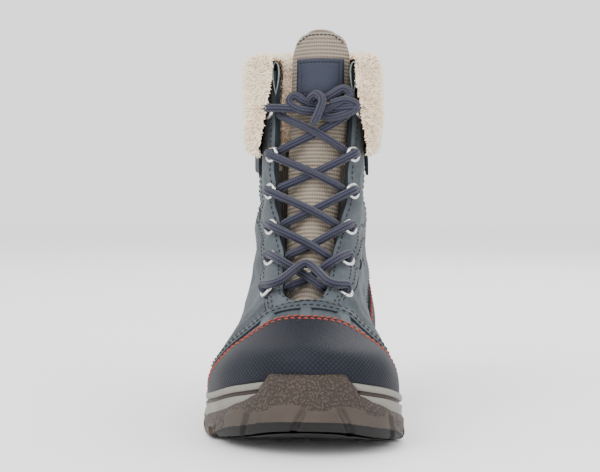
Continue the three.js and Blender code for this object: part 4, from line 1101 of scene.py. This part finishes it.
def tongue_label():
    low = 0.83 * TONGUE_TOP
    rows, columns = 50, 60
    z, x = np.meshgrid(np.linspace(low, low + LABEL_HEIGHT, rows), np.linspace(-1, 1, columns), indexing="ij")
    reach = LABEL_WIDTH / 2 / tongue_half(z)
    inset = np.minimum(LABEL_WIDTH / 2 * (1 - np.abs(x)), np.minimum(z - low, low + LABEL_HEIGHT - z))
    lift = 0.35 + 1.0 * ramp(inset, -0.4, 1.0) - 0.25 * bell(inset - 2, 0.6)
    points = on_tongue(x * reach, z, lift)
    uv = np.stack([x * LABEL_WIDTH / 2, z], -1)
    made = assemble("label_patch", [(points, grid_faces(rows, columns), 0, uv)], [LABEL])
    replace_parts(made, "tongue_label")
    across = np.linspace(-0.92, 0.92, 60)
    rows_of = []
    for height in (low + LABEL_HEIGHT - 1.9, low + 1.9):
        z = np.full(across.shape, height)
        line = on_tongue(across * LABEL_WIDTH / 2 / tongue_half(z), z, np.full(across.shape, 1.25))
        rows_of.append(row_along(line, 2.0, 1.5, 0.3))
    assemble("label_stitches", sew(rows_of), [BLACK_THREAD_AND_SHADE], False)


# Eyelets and lace.


def eyelets():
    sides = 36
    parts = []
    turns = np.arange(sides) * ROUND / sides
    for point, normal, foot in EYELET_PLACES.values():
        foot = foot - 0.3
        profile = [
            (EYELET_BORE, -1.5), (EYELET_BORE, foot + 0.3), (EYELET_BORE + 0.25, foot + 0.75),
            (EYELET_BORE + 0.8, foot + 1.0), (EYELET_RADIUS - 0.8, foot + 0.95),
            (EYELET_RADIUS - 0.2, foot + 0.6), (EYELET_RADIUS, foot + 0.1), (EYELET_RADIUS, foot - 0.6),
        ]
        # A black disc closes each bore under the ring: painted shade in the hole.
        well = [(0.1, -1.2), (EYELET_BORE, -1.2)]
        side = unit(np.cross(normal, (0, 0, 1.0)))
        up = np.cross(side, normal)
        circle = np.outer(np.cos(turns), side) + np.outer(np.sin(turns), up)
        for slot, outline in enumerate((profile, well)):
            rings = [point + normal * h + r * circle for r, h in outline]
            parts.append((np.concatenate(rings), grid_faces(len(outline), sides, around=True), slot, None))
    made = assemble("eyelet_rings", parts, [METAL, BLACK_THREAD_AND_SHADE], False)
    names = [f"eyelet_{side}_{pair + 1}" for pair in range(len(EYELETS)) for side in ("outer", "inner")]
    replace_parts(made, *names)


LACE_LIFT = 1.4
BAR_RISE = 9


def over_front(x, z, lift):
    v, angle = place_at(x, z, True, lift)
    return surface(v, angle, lift)


def over_eyelet(pair, hand, lift=LACE_LIFT):
    point, normal, foot = EYELET_PLACES[pair, hand]
    return point + normal * (foot + EYELET_FLANGE + LACE + lift)


def over_edge(z, hand):
    lift = OVERLAY + 2 * FIT_GAP + LACE + LACE_LIFT
    return over_front(throat_middle(z) + hand * (throat_half(z) + 1), z, lift)


def under_edge(z, hand, depth=-1.0):
    return over_front(throat_middle(z) + hand * (throat_half(z) - LACE - 3 * FIT_GAP), z, depth)


def over_tongue(z, lift):
    point, normal = tongue_path(np.asarray(z, float))
    return point + normal * (0.6 * TONGUE_BOW + 2 * FIT_GAP + LACE + lift)


def eyelet_height(pair):
    return EYELETS[pair][0] * FOLD_FRONT


def from_eyelet(pair, hand):
    """The first places of a strand that comes up out of an eyelet and turns to the throat."""
    point, normal, foot = EYELET_PLACES[pair, hand]
    out = point + normal * (foot + 0.8) + np.array((hand * 0.6, 0, -0.4))
    high = over_eyelet(pair, hand, 0.2) + np.array((-hand * 1.2, 0, 0.4))
    return [point + normal * -1.0, out, high]


def strand(name, path):
    """A length of lace on a path."""
    points, faces, uv = tube(path, LACE)
    return build(name, points, faces, [BRAID], None, uv)


def lace_bar():
    """The lowest run, from one eyelet over the throat to the other. It arches up."""
    z = eyelet_height(0)
    edges = [over_edge(z + 0.45 * BAR_RISE, hand) + np.array((0, -1.0, 0)) for hand in (-1, 1)]
    middle = over_tongue(z + BAR_RISE, 1.7 * LACE_DIAMETER)
    places = from_eyelet(0, -1) + [edges[0], middle, edges[1]] + from_eyelet(0, 1)[::-1]
    made = strand("lace_bottom_bar", smooth_path(places))
    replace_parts(made, "lace_bar")


def lace_crossings():
    for pair in range(1, len(EYELETS)):
        high, low = eyelet_height(pair), eyelet_height(pair - 1)
        shares = (0.06, 0.14, 0.5, 0.9, 0.98)
        first, second, half, near, last = (high + (low - high) * share for share in shares)
        parts = []
        for hand, lift in ((-1, 0.45 * LACE_DIAMETER), (1, 0.0)):
            if pair == TOP_PAIR:
                start = [under_edge(first, hand, -3.5), under_edge(second, hand, 0.5)]
            else:
                start = from_eyelet(pair, hand) + [over_edge(first, hand)]
            end = [under_edge(near, -hand), under_edge(last, -hand, -4.5)]
            places = start + [over_tongue(half, lift)] + end
            points, faces, uv = tube(smooth_path(places), LACE)
            parts.append((points, faces, 0, uv))
        made = assemble(f"lace_strands_{pair}", parts, [BRAID])
        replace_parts(made, f"lace_crossing_{pair}")


KNOT_HEIGHT = 0.905 * FOLD_FRONT
# Places of the bow's cords in lace diameters from the knot's middle: across, up and out from the tongue.
BOW = {
    "bow_left": [
        (0.2, -0.2, 0), (-1.6, 0.4, 0.5), (-2.9, 1.1, 0.3),
        (-3.4, 0.2, 0.6), (-2.0, -0.7, 0.9), (0, -0.9, 0.6),
    ],
    "bow_right": [
        (-0.3, 0.1, 0.2), (1.2, 0.9, 0.6), (3.0, 1.9, 0.4),
        (3.9, 1.0, 0.6), (2.5, 0.2, 0.8), (0.6, -0.8, 0.7),
    ],
    "bow_end": [
        (1.6, 0.1, 0.8), (3.4, 0.5, 0.9), (4.7, -0.2, 0.8),
        (3.6, -1.1, 0.9), (1.4, -1.6, 0.7), (0.2, -1.1, 0.4),
    ],
    "bow_wrap": [
        (-1.3, -1.2, 0), (-1, 0.5, 0.5), (-0.1, 1.2, 1.3),
        (0.6, 0.4, 1.9), (0.2, -0.9, 1.9), (-0.5, -2.4, 1.7),
    ],
}


def lace_knot():
    middle = over_tongue(KNOT_HEIGHT, 0.5)

    def at(place):
        return middle + LACE_DIAMETER * np.array((place[0], -place[2], place[1]))

    z = eyelet_height(TOP_PAIR)
    holders = []
    for hand in (-1, 1):
        edge = over_edge(z, hand) + np.array((0, -1.5, 1.0))
        holders.append(from_eyelet(TOP_PAIR, hand) + [edge, at((hand * 0.9, -0.6, 0.2))])
    top = smooth_path(holders[0] + holders[1][::-1])
    made = strand("lace_top", top)
    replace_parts(made, "lace_knot")
    for name, places in BOW.items():
        path = smooth_path([at(place) for place in places])
        made = strand(name, path)


# Strap and pull loop.

STRAP_FROM = 0.4 * SHAFT_HEIGHT
LOOP_TOP = 0.747 * SHAFT_HEIGHT


def heel_strap():
    rows, columns = 70, 28
    levels, across = np.linspace(STRAP_FROM + 0.6, LOOP_TOP, rows), np.linspace(-1, 1, columns)
    z, x = np.meshgrid(levels, across * STRAP_WIDTH / 2, indexing="ij")
    v, angle = place_at(x, z, False, FACE)
    near = STRAP_WIDTH / 2 - np.abs(x)
    relief = creases(last_point(v, angle))
    top = OVERLAY + 2 * FIT_GAP + STRAP_THICKNESS - 0.5 * np.exp(-near / 0.5) + 0.5 * relief
    face = surface(v, angle, top)
    parts = [(face, grid_faces(rows, columns), 0, np.stack([x, z], -1))]
    for column in (0, -1):
        rim = np.concatenate([face[:, column], surface(v[:, column], angle[:, column], FIT_GAP)])
        parts.append((rim, grid_faces(2, rows), 0, None))
    rim = np.concatenate([face[0], surface(v[0], angle[0], FIT_GAP)])
    parts.append((rim, grid_faces(2, columns), 0, None))
    made = assemble("heel_strap_webbing", parts, [STRAP])
    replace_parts(made, "heel_strap")
    rows_of = []
    for column in (2, 5, -6, -3):
        rows_of.append(row_along(face[:, column], 2.9, 2.2, 0.33, TO_BACK))
    assemble("strap_stitches", sew(rows_of), [ORANGE_THREAD], False)


def pull_loop():
    levels = np.linspace(0, TOP_SECTION, 400)
    back = last_point(levels, np.zeros(400))

    def seat(z):
        return np.interp(z, back[:, 2], back[:, 1]) + OVERLAY + 4 * FIT_GAP + STRAP_THICKNESS

    low, high = LOOP_TOP - LOOP_HEIGHT, LOOP_TOP
    path = spline([
        (seat(low) + 0.3, high - 0.55 * LOOP_HEIGHT),
        (seat(high) + 0.2, high - 0.15 * LOOP_HEIGHT),
        (seat(high) + 0.18 * LOOP_DEPTH, high + 0.1),
        (seat(high) + 0.5 * LOOP_DEPTH, high - 0.06 * LOOP_HEIGHT),
        (seat(high) + 0.9 * LOOP_DEPTH, high - 0.35 * LOOP_HEIGHT),
        (seat(low) + LOOP_DEPTH + 1.0, high - 0.72 * LOOP_HEIGHT),
        (seat(low) + 0.86 * LOOP_DEPTH, low + 0.04 * LOOP_HEIGHT),
        (seat(low) + 0.4 * LOOP_DEPTH, low - 0.3),
        (seat(low) + 0.2, low + 0.12 * LOOP_HEIGHT),
    ], 90)
    out = unit(np.gradient(path, axis=0) @ np.array([[0, 1], [-1, 0]])) * STRAP_THICKNESS / 2
    columns = 30
    x = np.linspace(-1, 1, columns) * LOOP_WIDTH / 2
    gone = lengths_along(path)
    parts = []
    faces_of = []
    for hand in (-1, 1):
        edge = path + hand * out
        sag = 0.35 * np.cos(x / LOOP_WIDTH * ROUND)
        points = np.stack(
            [
                np.broadcast_to(x, (len(path), columns)),
                edge[:, :1] + 0 * x,
                edge[:, 1:] + sag * 0.5,
            ],
            -1,
        )
        uv = np.stack(np.broadcast_arrays(x[None], gone[:, None]), -1)
        faces_of.append(points)
        parts.append((points, grid_faces(len(path), columns), 0, uv))
    for column in (0, -1):
        rim = np.concatenate([faces_of[0][:, column], faces_of[1][:, column]])
        parts.append((rim, grid_faces(2, len(path)), 0, None))
    made = assemble("pull_loop_webbing", parts, [LOOP_PAINTED_LIGHT])
    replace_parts(made, "pull_loop")


# Cuff and fleece.


def cuff():
    """The collar's leather turned down outside: a band with soft folds that stands off the shaft."""
    v, angle = net(CUFF_LOW, TOP_SECTION, 60, 0, ROUND, 300)
    places, faces, chains = cut(v, angle, outside_cuff_throat)
    on = OVERLAY + 2 * FIT_GAP

    def offset(place):
        fold = 0.5 * np.sin(9 * place[:, 1] + 0.6) + 0.4 * np.sin(17 * place[:, 1] + place[:, 0])
        flare = 1 - ramp(place[:, 0], CUFF_SECTION, CUFF_SECTION + 1.5)
        return on + CUFF_LEATHER + fold * 0.35 + flare * (0.5 + 0.5 * fold)

    low_edge = np.isclose(places[:, 0], CUFF_LOW)
    ragged = 0.5 * np.sin(31 * places[:, 1]) + 0.4 * np.sin(53 * places[:, 1] + 2)
    rise = np.where(low_edge, 0.5 * ragged, 0)
    outer = surface(*columns_of(places), offset(places), rise)
    inner = surface(*columns_of(places), offset(places) - CUFF_LEATHER * 0.8, rise)
    at = paper(*columns_of(places))
    parts = [(outer, faces, 0, at), (inner, [face[::-1] for face in faces], 1, at)]
    bottom = np.where(low_edge)[0]
    bottom = bottom[np.argsort(places[bottom, 1])]
    for chain in [*chains, list(bottom)]:
        rim = np.concatenate([outer[chain], inner[chain]])
        parts.append((rim, grid_faces(2, len(chain)), 1, None))
    made = assemble("cuff_leather", parts, [NAVY, CUT_EDGE])
    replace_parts(made, "cuff")


# Rings of a fold's end: half width, top above the fold, length and depth behind its face.
FOLD_RINGS = ((2.7, 5.4, 17.5, 8.0), (2.7, 5.4, 17.5, 0.0), (1.65, 4.5, 14.5, -0.2), (1.4, 4.3, 14, 6.0))


def fold_ends():
    """The fold of the leather seen end on at each side of the throat: a narrow drop with a dark hollow."""
    parts = []
    turn = np.linspace(0, ROUND, 61)
    drop = np.sin(turn) * ((1.02 + np.cos(turn)) / 2) ** 0.6
    down = 1 - np.cos(turn)
    for hand in (-1, 1):
        rings = []
        for half, top, length, back in FOLD_RINGS:
            z = FOLD_FRONT + top - length / 2 * down
            seen = np.minimum(z, FOLD_FRONT - 0.5)
            middle = throat_middle(seen) + hand * (throat_half(seen) + 0.5)
            nearest = throat_middle(seen) + hand * (throat_half(seen) + 0.4)
            base = surface(*place_at(nearest, seen, True, FACE), FACE + 0.5)
            rings.append(np.stack([middle + half * drop + hand * 0.3 * back, base[:, 1] + 0.8 * back, z], -1))
        parts.append((np.concatenate(rings), grid_faces(4, 61), [0] * 60 + [2] * 60 + [1] * 60, None))
        parts.append((rings[3], [list(range(60))], 1, None))
    assemble("fold_ends", parts, [NAVY, CUT_EDGE, RAW_EDGE], False)


def pile(angle, v):
    return 0.55 * np.sin(7 * angle + 2.1 * v) + 0.45 * np.sin(13 * angle - 3.3 * v + 1)


# The fleece's outline seen in a section: (section of the last, offset, rise, lumps).
UNDER = OVERLAY + 3 * FIT_GAP + CUFF_LEATHER
ROOF = CUFF_LEATHER + 3 * FIT_GAP
INNER_PILE = -(WALL + FLEECE_LINING)
OUTLINE = [
    (FLEECE_SECTION, UNDER, 0, 0.0),
    (FLEECE_SECTION + 0.1, UNDER + 0.7 * FLEECE_DEPTH, 0, 0.7),
    (FLEECE_SECTION + 0.8, UNDER + 0.9 * FLEECE_DEPTH, 0, 0.9),
    (FLEECE_SECTION + 1.7, UNDER + 0.9 * FLEECE_DEPTH, 0, 0.9),
    (TOP_SECTION, UNDER + 0.9 * FLEECE_DEPTH, 0, 0.9),
    (TOP_SECTION, UNDER + 0.6 * FLEECE_DEPTH, ROOF + 0.5 * FLEECE_DEPTH, 0.9),
    (TOP_SECTION, 0, ROOF + 0.85 * FLEECE_DEPTH, 0.7),
    (TOP_SECTION, INNER_PILE + 0.35 * FLEECE_LINING, ROOF + 0.6 * FLEECE_DEPTH, 0.6),
    (TOP_SECTION, INNER_PILE + 0.4, 0, 0.5),
    (TOP_SECTION - 1.6, INNER_PILE + 0.4, 0, 0.5),
    (LINING_SECTION, INNER_PILE + 1.2, 0, 0.2),
    (LINING_SECTION, -(WALL + FIT_GAP), 0, 0.0),
]


def fleece_place(s, angle):
    """Place on the fleece's face: s goes along OUTLINE from its foot outside to its end inside."""
    at = np.arange(len(OUTLINE))
    v, offset, rise, lumps = (np.interp(s, at, [row[k] for row in OUTLINE]) for k in range(4))
    lump = pile(angle, v)
    made = surface(v, angle, offset + lumps * lump, rise)
    made[..., 2] += lumps * 0.8 * pile(angle + 1.3, v)
    return made


def fleece_shown(p, s):
    """Distance inside the fleece's front ends: the cuff's outside the fold, and the throat's inside it."""
    return np.where(s < 5.5, outside_cuff_throat(p), outside_throat(p)) - 0.4


def notch(p):
    """Positive where a top strand of the lace runs through the front of the pile."""
    made = np.full(p.shape[:-1], -9.0)
    for hand in (-1, 1):
        point = EYELET_PLACES[TOP_PAIR, hand][0]
        rel = p - point
        inward = np.minimum(-hand * rel[..., 0] - 0.5, 6 - rel[..., 1])
        inward = np.minimum(inward, hand * (p[..., 0] - throat_middle(point[2])))
        made = np.maximum(made, np.minimum(inward, 1.9 - np.abs(rel[..., 2] - 0.7)))
    return made


def fleece():
    rows, columns = 120, 320
    along, turns = np.linspace(0, len(OUTLINE) - 1, rows), np.linspace(0, ROUND, columns)
    s, angle = np.meshgrid(along, turns, indexing="ij")
    p = fleece_place(s, angle)
    rough = 0.35 * np.sin(41 * angle + 3 * s) * np.sin(9 * s - 23 * angle)
    middle = p.mean(0, keepdims=True)
    p = p + unit(p - middle) * rough[..., None]
    keep = np.minimum(fleece_shown(p, s), -notch(p)).ravel()
    faces = [face for face in grid_faces(rows, columns) if keep[face].min() > 0]
    # The skin is coloured as the pile near its roots: painted shade under the locks.
    uv = np.stack([angle * 0, 0.25 + 0 * s], -1).reshape(-1, 2)
    made = build("fleece_skin", p.reshape(-1, 3), faces, [PILE], None, uv)
    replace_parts(made, "fleece")


LOCK_STEPS = 3  # quads in a lock of pile
LOCK_SINK = 0.6  # how deep its root lies under the face
LOCK_DROOP, LOCK_TANGLE = 0.35, 0.3
LOCK_CURL = 0.42
LOCK_TAPER = 0.85


def locks(name, count, s_from, s_to, length, width, material, seed):
    """Curved tapering locks of pile that stand from the fleece's face and gather to tufts."""
    draw = np.random.default_rng(seed)
    count = count
    s = draw.uniform(s_from, s_to, 3 * count)
    angle = draw.uniform(0, ROUND, 3 * count)
    root = fleece_place(s, angle)
    keep = (fleece_shown(root, s) > 0.2) & (notch(root) < 0.1)
    s, angle, root = s[keep][:count], angle[keep][:count], root[keep][:count]
    up = fleece_place(np.maximum(s - 0.05, 0), angle) - fleece_place(s + 0.05, angle)
    around = fleece_place(s, angle + 0.02) - fleece_place(s, angle - 0.02)
    normal = unit(np.cross(unit(around), -unit(up)))
    down = unit(up)
    # Tufts: locks lean towards the middle of their cell.
    cell = np.stack([np.sin(38 * angle + 4 * s), np.sin(7.5 * s + 11 * angle)], -1)
    lean = normal + LOCK_DROOP * down + 0.3 * cell[:, :1] * unit(around) + 0.25 * cell[:, 1:] * down
    lean = unit(lean + LOCK_TANGLE * draw.normal(size=lean.shape))
    curl = unit(np.cross(lean, draw.normal(size=lean.shape)))
    size = length * draw.uniform(0.6, 1.2, len(s))
    points, uvs = [], []
    side = unit(np.cross(lean, draw.normal(size=lean.shape)))
    for k in range(LOCK_STEPS + 1):
        share = k / LOCK_STEPS
        middle = root + lean * (size * share - LOCK_SINK)[:, None]
        middle = middle + curl * (size * LOCK_CURL * share**2)[:, None]
        half = width / 2 * (1 - LOCK_TAPER * share**1.6)
        points += [middle - side * half, middle + side * half]
        uvs += [np.full(len(s), share)] * 2
    points = np.stack(points, 1)
    corners = 2 * LOCK_STEPS + 2
    # The share up each lock sets its colour, darker at the root: painted shade among the locks.
    uv = np.stack([np.zeros((len(s), corners)), np.stack(uvs, 1)], -1)
    strip = np.array([[2 * k, 2 * k + 1, 2 * k + 3, 2 * k + 2] for k in range(LOCK_STEPS)])
    faces = (np.arange(len(s))[:, None, None] * corners + strip[None]).reshape(-1, 4)
    build(name, points.reshape(-1, 3), faces.tolist(), [material], None, uv.reshape(-1, 2))


def fleece_locks():
    locks("pile_outside_1", 22000, 0.05, 3.0, 3.0, 1.0, PILE, 11)
    locks("pile_outside_2", 19000, 3.0, 5.6, 3.0, 1.0, PILE, 12)
    locks("pile_fold", 9000, 5.2, 7.8, 2.8, 1.0, PILE, 13)
    locks("pile_inside", 10000, 7.6, 10.8, 2.4, 1.0, LINING_PILE, 14)


# Sole.

SOLE_COLUMNS = 600
LUG_PITCH = 27
FRONT_LUGS = 46  # how far to each side of the toe the tall lugs reach
TOE_LEAN, HEEL_LEAN = 3.4, 0.6  # how far the tops of the bumpers lean in
# The part under the toe is inset and takes the near-black tread rubber: painted shade.
UNDERCUT = 4.4  # height of the dark part under the toe
UNDERCUT_DEPTH = 0.9
SLANT_DEPTH = 1.4  # of the grooves between the lugs
TREAD_DEPTH = 2.4  # of the tread's grooves in the side
MIDSOLE_TUCK = 2.4  # how far the midsole is drawn in behind a bumper
INSOLE_PAD = 3.5
INSOLE_MIDDLE = 0.045  # of BALL_WIDTH


def sole_ring(ledge, columns=SOLE_COLUMNS):
    """Places x, y of the sole's outline, grown by ledge outside the upper's own ledge."""
    angle = np.arange(columns) * ROUND / columns
    p = last_point(0.0, angle)
    after, before = last_point(0.0, angle + 0.02), last_point(0.0, angle - 0.02)
    out = np.stack([before[:, 1] - after[:, 1], after[:, 0] - before[:, 0]], -1)
    grow = np.broadcast_to(SOLE_LEDGE + np.asarray(ledge, float), (columns,))
    return p[:, :2] - unit(out) * grow[:, None]


def sole_wall(rows):
    """Rings of the midsole from rows of (ledge, height function of the distance from the heel's end)."""
    rings = []
    for ledge, height in rows:
        xy = sole_ring(ledge)
        t = HEEL_BACK - xy[:, 1]
        covered = ramp(bumper_top(xy[:, 0], t) - height(t), 1.0, 3.0)
        xy = sole_ring(ledge - MIDSOLE_TUCK * covered)
        rings.append(np.column_stack([xy, height(HEEL_BACK - xy[:, 1])]))
    return rings


def outsole_top(t):
    return underside_height(t) * 0.75 + OUTSOLE_HEIGHT


def midsole():
    groove = BEAD_HEIGHT + GROOVE_HEIGHT

    def foot(t):
        return outsole_top(t) + FIT_GAP

    def wall(share):
        return lambda t: outsole_top(t) + share * (seat_height(t) - groove - outsole_top(t))

    def top(down):
        return lambda t: seat_height(t) - down

    # The side has a low step above the outsole, then a plain wall up to the groove, and a bead over it.
    walls = ((0.55, 0.12), (0.35, 0.2), (0.05, 0.26), (-0.05, 0.5), (0.0, 0.75), (0.15, 0.95))
    tops = (
        (0.0, groove + 0.15), (-0.4, groove), (-GROOVE_DEPTH, groove - 0.15),
        (-GROOVE_DEPTH, BEAD_HEIGHT + 0.2), (-0.5, BEAD_HEIGHT), (0.0, BEAD_HEIGHT - 0.4),
        (0.15, BEAD_HEIGHT / 2), (0.0, 0.55), (-0.35, 0.12), (-0.9, 0), (-6.5, 0),
    )
    rows = [(OUTSOLE_LEDGE - 0.4, foot)]
    rows += [(ledge, wall(share)) for ledge, share in walls]
    rows += [(ledge, top(down)) for ledge, down in tops]
    rings = sole_wall(rows)
    slots = []
    for k in range(len(rings) - 1):
        slots += [1 if 8 <= k <= 10 else 0] * SOLE_COLUMNS
    faces = grid_faces(len(rings), SOLE_COLUMNS, around=True)
    made = build("midsole_wall", np.concatenate(rings), faces, [MIDSOLE, GROOVE], slots)
    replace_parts(made, "midsole")


def bumper_top(x, t):
    """Height of the outsole's side: the rand, with a bumper over the toe and one over the heel."""
    rand = underside_height(t) * 0.75 + OUTSOLE_HEIGHT * look_up(*RAND, t / SOLE_LENGTH)
    middle = BALL_WIDTH * SECTIONS[0, -1]
    apart = np.abs(x - middle)
    half, foot, top = TOE_BUMPER_WIDTH / 2, TOE_BUMPER_FOOT / 2, TOE_BUMPER_TOP
    toe = np.interp(apart, [0, half - 1.5, half, foot, foot + 0.8], [top, top, top - 0.7, top - 8, 0])
    toe = np.where(t > 0.86 * SOLE_LENGTH, toe, 0)
    half, foot, top = HEEL_BUMPER_WIDTH / 2, HEEL_BUMPER_FOOT / 2, HEEL_SEAT + 0.4
    heel = np.interp(np.abs(x), [0, half - 1.5, half, foot], [top, top, top - 0.8, OUTSOLE_HEIGHT])
    heel = np.where(t < 0.2 * SOLE_LENGTH, heel, 0)
    return np.maximum(np.maximum(rand, toe), heel)


def tread(x, t):
    """Depth of the tread's grooves, from 0 on a lug to 1 in a groove."""
    made = np.zeros(np.broadcast(x, t).shape)
    across = np.abs(x - 0.04 * BALL_WIDTH)
    half = LUG_GROOVE / 2
    lines = [share * SOLE_LENGTH for share in (0.09, 0.19)]
    for share in (0.55, 0.64, 0.73, 0.82):
        lines.append((share + 0.018) * SOLE_LENGTH - 0.3 * (across - 0.27 * BALL_WIDTH))
    for line in lines:
        made = np.maximum(made, 1 - ramp(np.abs(t - line), half - 0.5, half + 0.3))
    for share in (0.14, 0.24, 0.5, 0.595, 0.685, 0.775, 0.87):
        line = share * SOLE_LENGTH - 0.25 * across
        made = np.maximum(made, 0.3 * (1 - ramp(np.abs(t - line), 0.4, 0.9)))
    return made


def outsole():
    rise, columns = 50, SOLE_COLUMNS
    base = sole_ring(OUTSOLE_LEDGE)
    t = HEEL_BACK - base[:, 1]
    x = base[:, 0]
    under = underside_height(t)
    top = bumper_top(x, t)
    along = lengths_along(base)
    s = along - along[columns // 2]
    raised = ramp(top - outsole_top(t), 1.0, 7.0)
    at_toe = t > 0.5 * SOLE_LENGTH
    lean = np.where(at_toe, TOE_LEAN, HEEL_LEAN)
    # Lugs: below a stepped line the side is smooth, with slanting grooves between the lugs.
    step = np.abs(((s + 9) / LUG_PITCH) % 1 - 0.5) * 2
    at_front = 9.2 + 2.4 * ramp(step, 0.2, 0.7)
    at_sides = 3.4 + 2.6 * ramp(step, 0.3, 0.55)
    lug_top = under + np.where(np.abs(s) < FRONT_LUGS, at_front, at_sides)
    undercut = UNDERCUT * (1 - ramp(np.abs(s), 40, 78))
    rings, slots = [], []
    shares = np.concatenate([np.linspace(0, 0.94, rise), [0.965, 0.985, 1.0]])
    for share in shares:
        z = under + share * (top - under)
        up = z - under
        turned = np.clip(1 - (1 - np.clip(up / EDGE_ROUND, 0, 1)) ** 2, 0, 1)
        corner = EDGE_ROUND * 0.8 * (1 - np.sqrt(turned))
        out = OUTSOLE_LEDGE + (BUMPER_THICKNESS - OUTSOLE_LEDGE) * raised * ramp(up, 5, 14) - corner
        near_top = np.clip(1 - (top - z) / 5, 0, 1)
        out = out - raised * lean * near_top**2.2 - (1 - raised) * 0.5 * ramp(share, 0.9, 1)
        smooth = up < lug_top - under
        out = out + 0.3 * ramp(lug_top - z, 0, 1.4)
        slant = np.abs(((s + 0.6 * np.sign(s) * up + 20) / LUG_PITCH) % 1 - 0.5) * LUG_PITCH
        gap = 1 - ramp(slant, 1.2, 2.1)
        out = out - SLANT_DEPTH * gap * (1 - ramp(z - lug_top, -2.0, 1.0))
        out = out - TREAD_DEPTH * tread(x, t) * (1 - ramp(up, LUG_DEPTH - 1, LUG_DEPTH + 0.6))
        dark_part = 1 - ramp(up, undercut - 0.9, undercut + 0.2)
        out = out - np.where(undercut > 0.5, UNDERCUT_DEPTH * dark_part, 0)
        rings.append(np.column_stack([sole_ring(out), z]))
        # Below the undercut's height the side takes the near-black tread rubber: painted shade.
        slots.append(np.where(up < undercut, 2, np.where(smooth, 1, 0)))
    # Over the top edge and in towards the midsole.
    for inward, drop in ((0.6, 0.1), (1.6, 0.5), (3.2, 1.4)):
        xy = sole_ring(OUTSOLE_LEDGE + (BUMPER_THICKNESS - OUTSOLE_LEDGE) * raised - raised * lean - inward)
        rings.append(np.column_stack([xy, top - drop]))
        slots.append(np.zeros(columns, int))
    wall = np.concatenate(rings)
    faces = grid_faces(len(rings), columns, around=True)
    parts = [(wall, faces, np.concatenate(slots[:-1]), None)]
    # The tread between the two sides of the sole.
    half = columns // 2
    across = 70
    left, right = rings[0][: half + 1], rings[0][(columns - np.arange(half + 1)) % columns]
    share = np.linspace(0, 1, across + 1)[None, :, None]
    floor = left[:, None] + (right - left)[:, None] * share
    floor_t = HEEL_BACK - floor[..., 1]
    edge = np.minimum(share[..., 0], 1 - share[..., 0])
    depth = tread(floor[..., 0], floor_t) * LUG_DEPTH * ramp(edge, -0.001, 0.004)
    floor[..., 2] = underside_height(floor_t) + depth * 0.97
    # The tread's floor takes the near-black rubber too: painted shade.
    parts.append((floor, grid_faces(half + 1, across + 1), 2, None))
    made = assemble("outsole_rubber", parts, [PEBBLED, SMOOTH_RUBBER, TREAD_PAINTED_SHADE], False)
    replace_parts(made, "outsole")


def insole():
    columns, rows = 160, 14
    inside = -(WALL + FIT_GAP + 0.8)
    angle = np.arange(columns) * ROUND / columns
    edge = surface(0.0, angle, inside)
    middle = np.column_stack([np.full(columns, INSOLE_MIDDLE * BALL_WIDTH), edge[:, 1]])
    rings = []
    for share in np.linspace(1, 0, rows):
        xy = middle + (edge[:, :2] - middle) * share
        z = seat_height(HEEL_BACK - xy[:, 1]) + FIT_GAP + INSOLE_PAD - 1.2 * ramp(share, 0.9, 1)
        rings.append(np.column_stack([xy, z]))
    points = np.concatenate(rings)
    made = build("insole_pad", points, grid_faces(rows, columns, around=True), [LINING_PAINTED_SHADE])
    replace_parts(made, "insole")


# Studio.


FLOOR_SIZE, FLOOR_TONE = 12, 0.96
WORLD_STRENGTH = 1.7
LIGHT_AIM = Vector((0, -0.06, 0.08))
# Name, place, size and power.
LIGHTS = (
    ("key", (-0.9, -1.3, 1.5), 1.3, 30),
    ("fill", (1.2, -1.0, 0.9), 1.2, 9),
    ("back", (0.4, 1.2, 1.4), 1.2, 14),
)


def studio():
    bpy.ops.mesh.primitive_plane_add(size=FLOOR_SIZE)
    floor = bpy.context.object
    floor.name = "floor"
    made, _, shader = tree_of("floor paint", 0.7)
    shader.inputs["Base Color"].default_value = (FLOOR_TONE, FLOOR_TONE, FLOOR_TONE, 1)
    floor.data.materials.append(made)
    world = bpy.data.worlds.new("studio")
    bpy.context.scene.world = world
    world.use_nodes = True
    sky = world.node_tree.nodes["Background"]
    sky.inputs["Color"].default_value = (1.0, 1.0, 1.0, 1)
    sky.inputs["Strength"].default_value = WORLD_STRENGTH
    for name, place, size, power in LIGHTS:
        light = bpy.data.lights.new(name, "AREA")
        light.size, light.energy = size, power
        lamp = bpy.data.objects.new(name, light)
        lamp.location = place
        lamp.rotation_euler = (LIGHT_AIM - lamp.location).to_track_quat("-Z", "Y").to_euler()
        bpy.context.scene.collection.objects.link(lamp)


CAMERA_PLACE = Vector((52.6, -735.1, 107.0)) * MM
LOOK_AT = Vector((-6.0, -36.0, 90.0)) * MM
LENS = 77


def camera():
    data = bpy.data.cameras.new("camera")
    data.lens = LENS
    data.sensor_width = 36
    made = bpy.data.objects.new("camera", data)
    made.location = CAMERA_PLACE
    made.rotation_euler = (LOOK_AT - CAMERA_PLACE).to_track_quat("-Z", "Y").to_euler()
    bpy.context.scene.collection.objects.link(made)
    bpy.context.scene.camera = made


upper_shell()
overlays()
seams()
tongue()
tongue_label()
eyelets()
lace_bar()
lace_crossings()
lace_knot()
heel_strap()
pull_loop()
cuff()
fold_ends()
fleece()
fleece_locks()
midsole()
outsole()
insole()
studio()
camera()
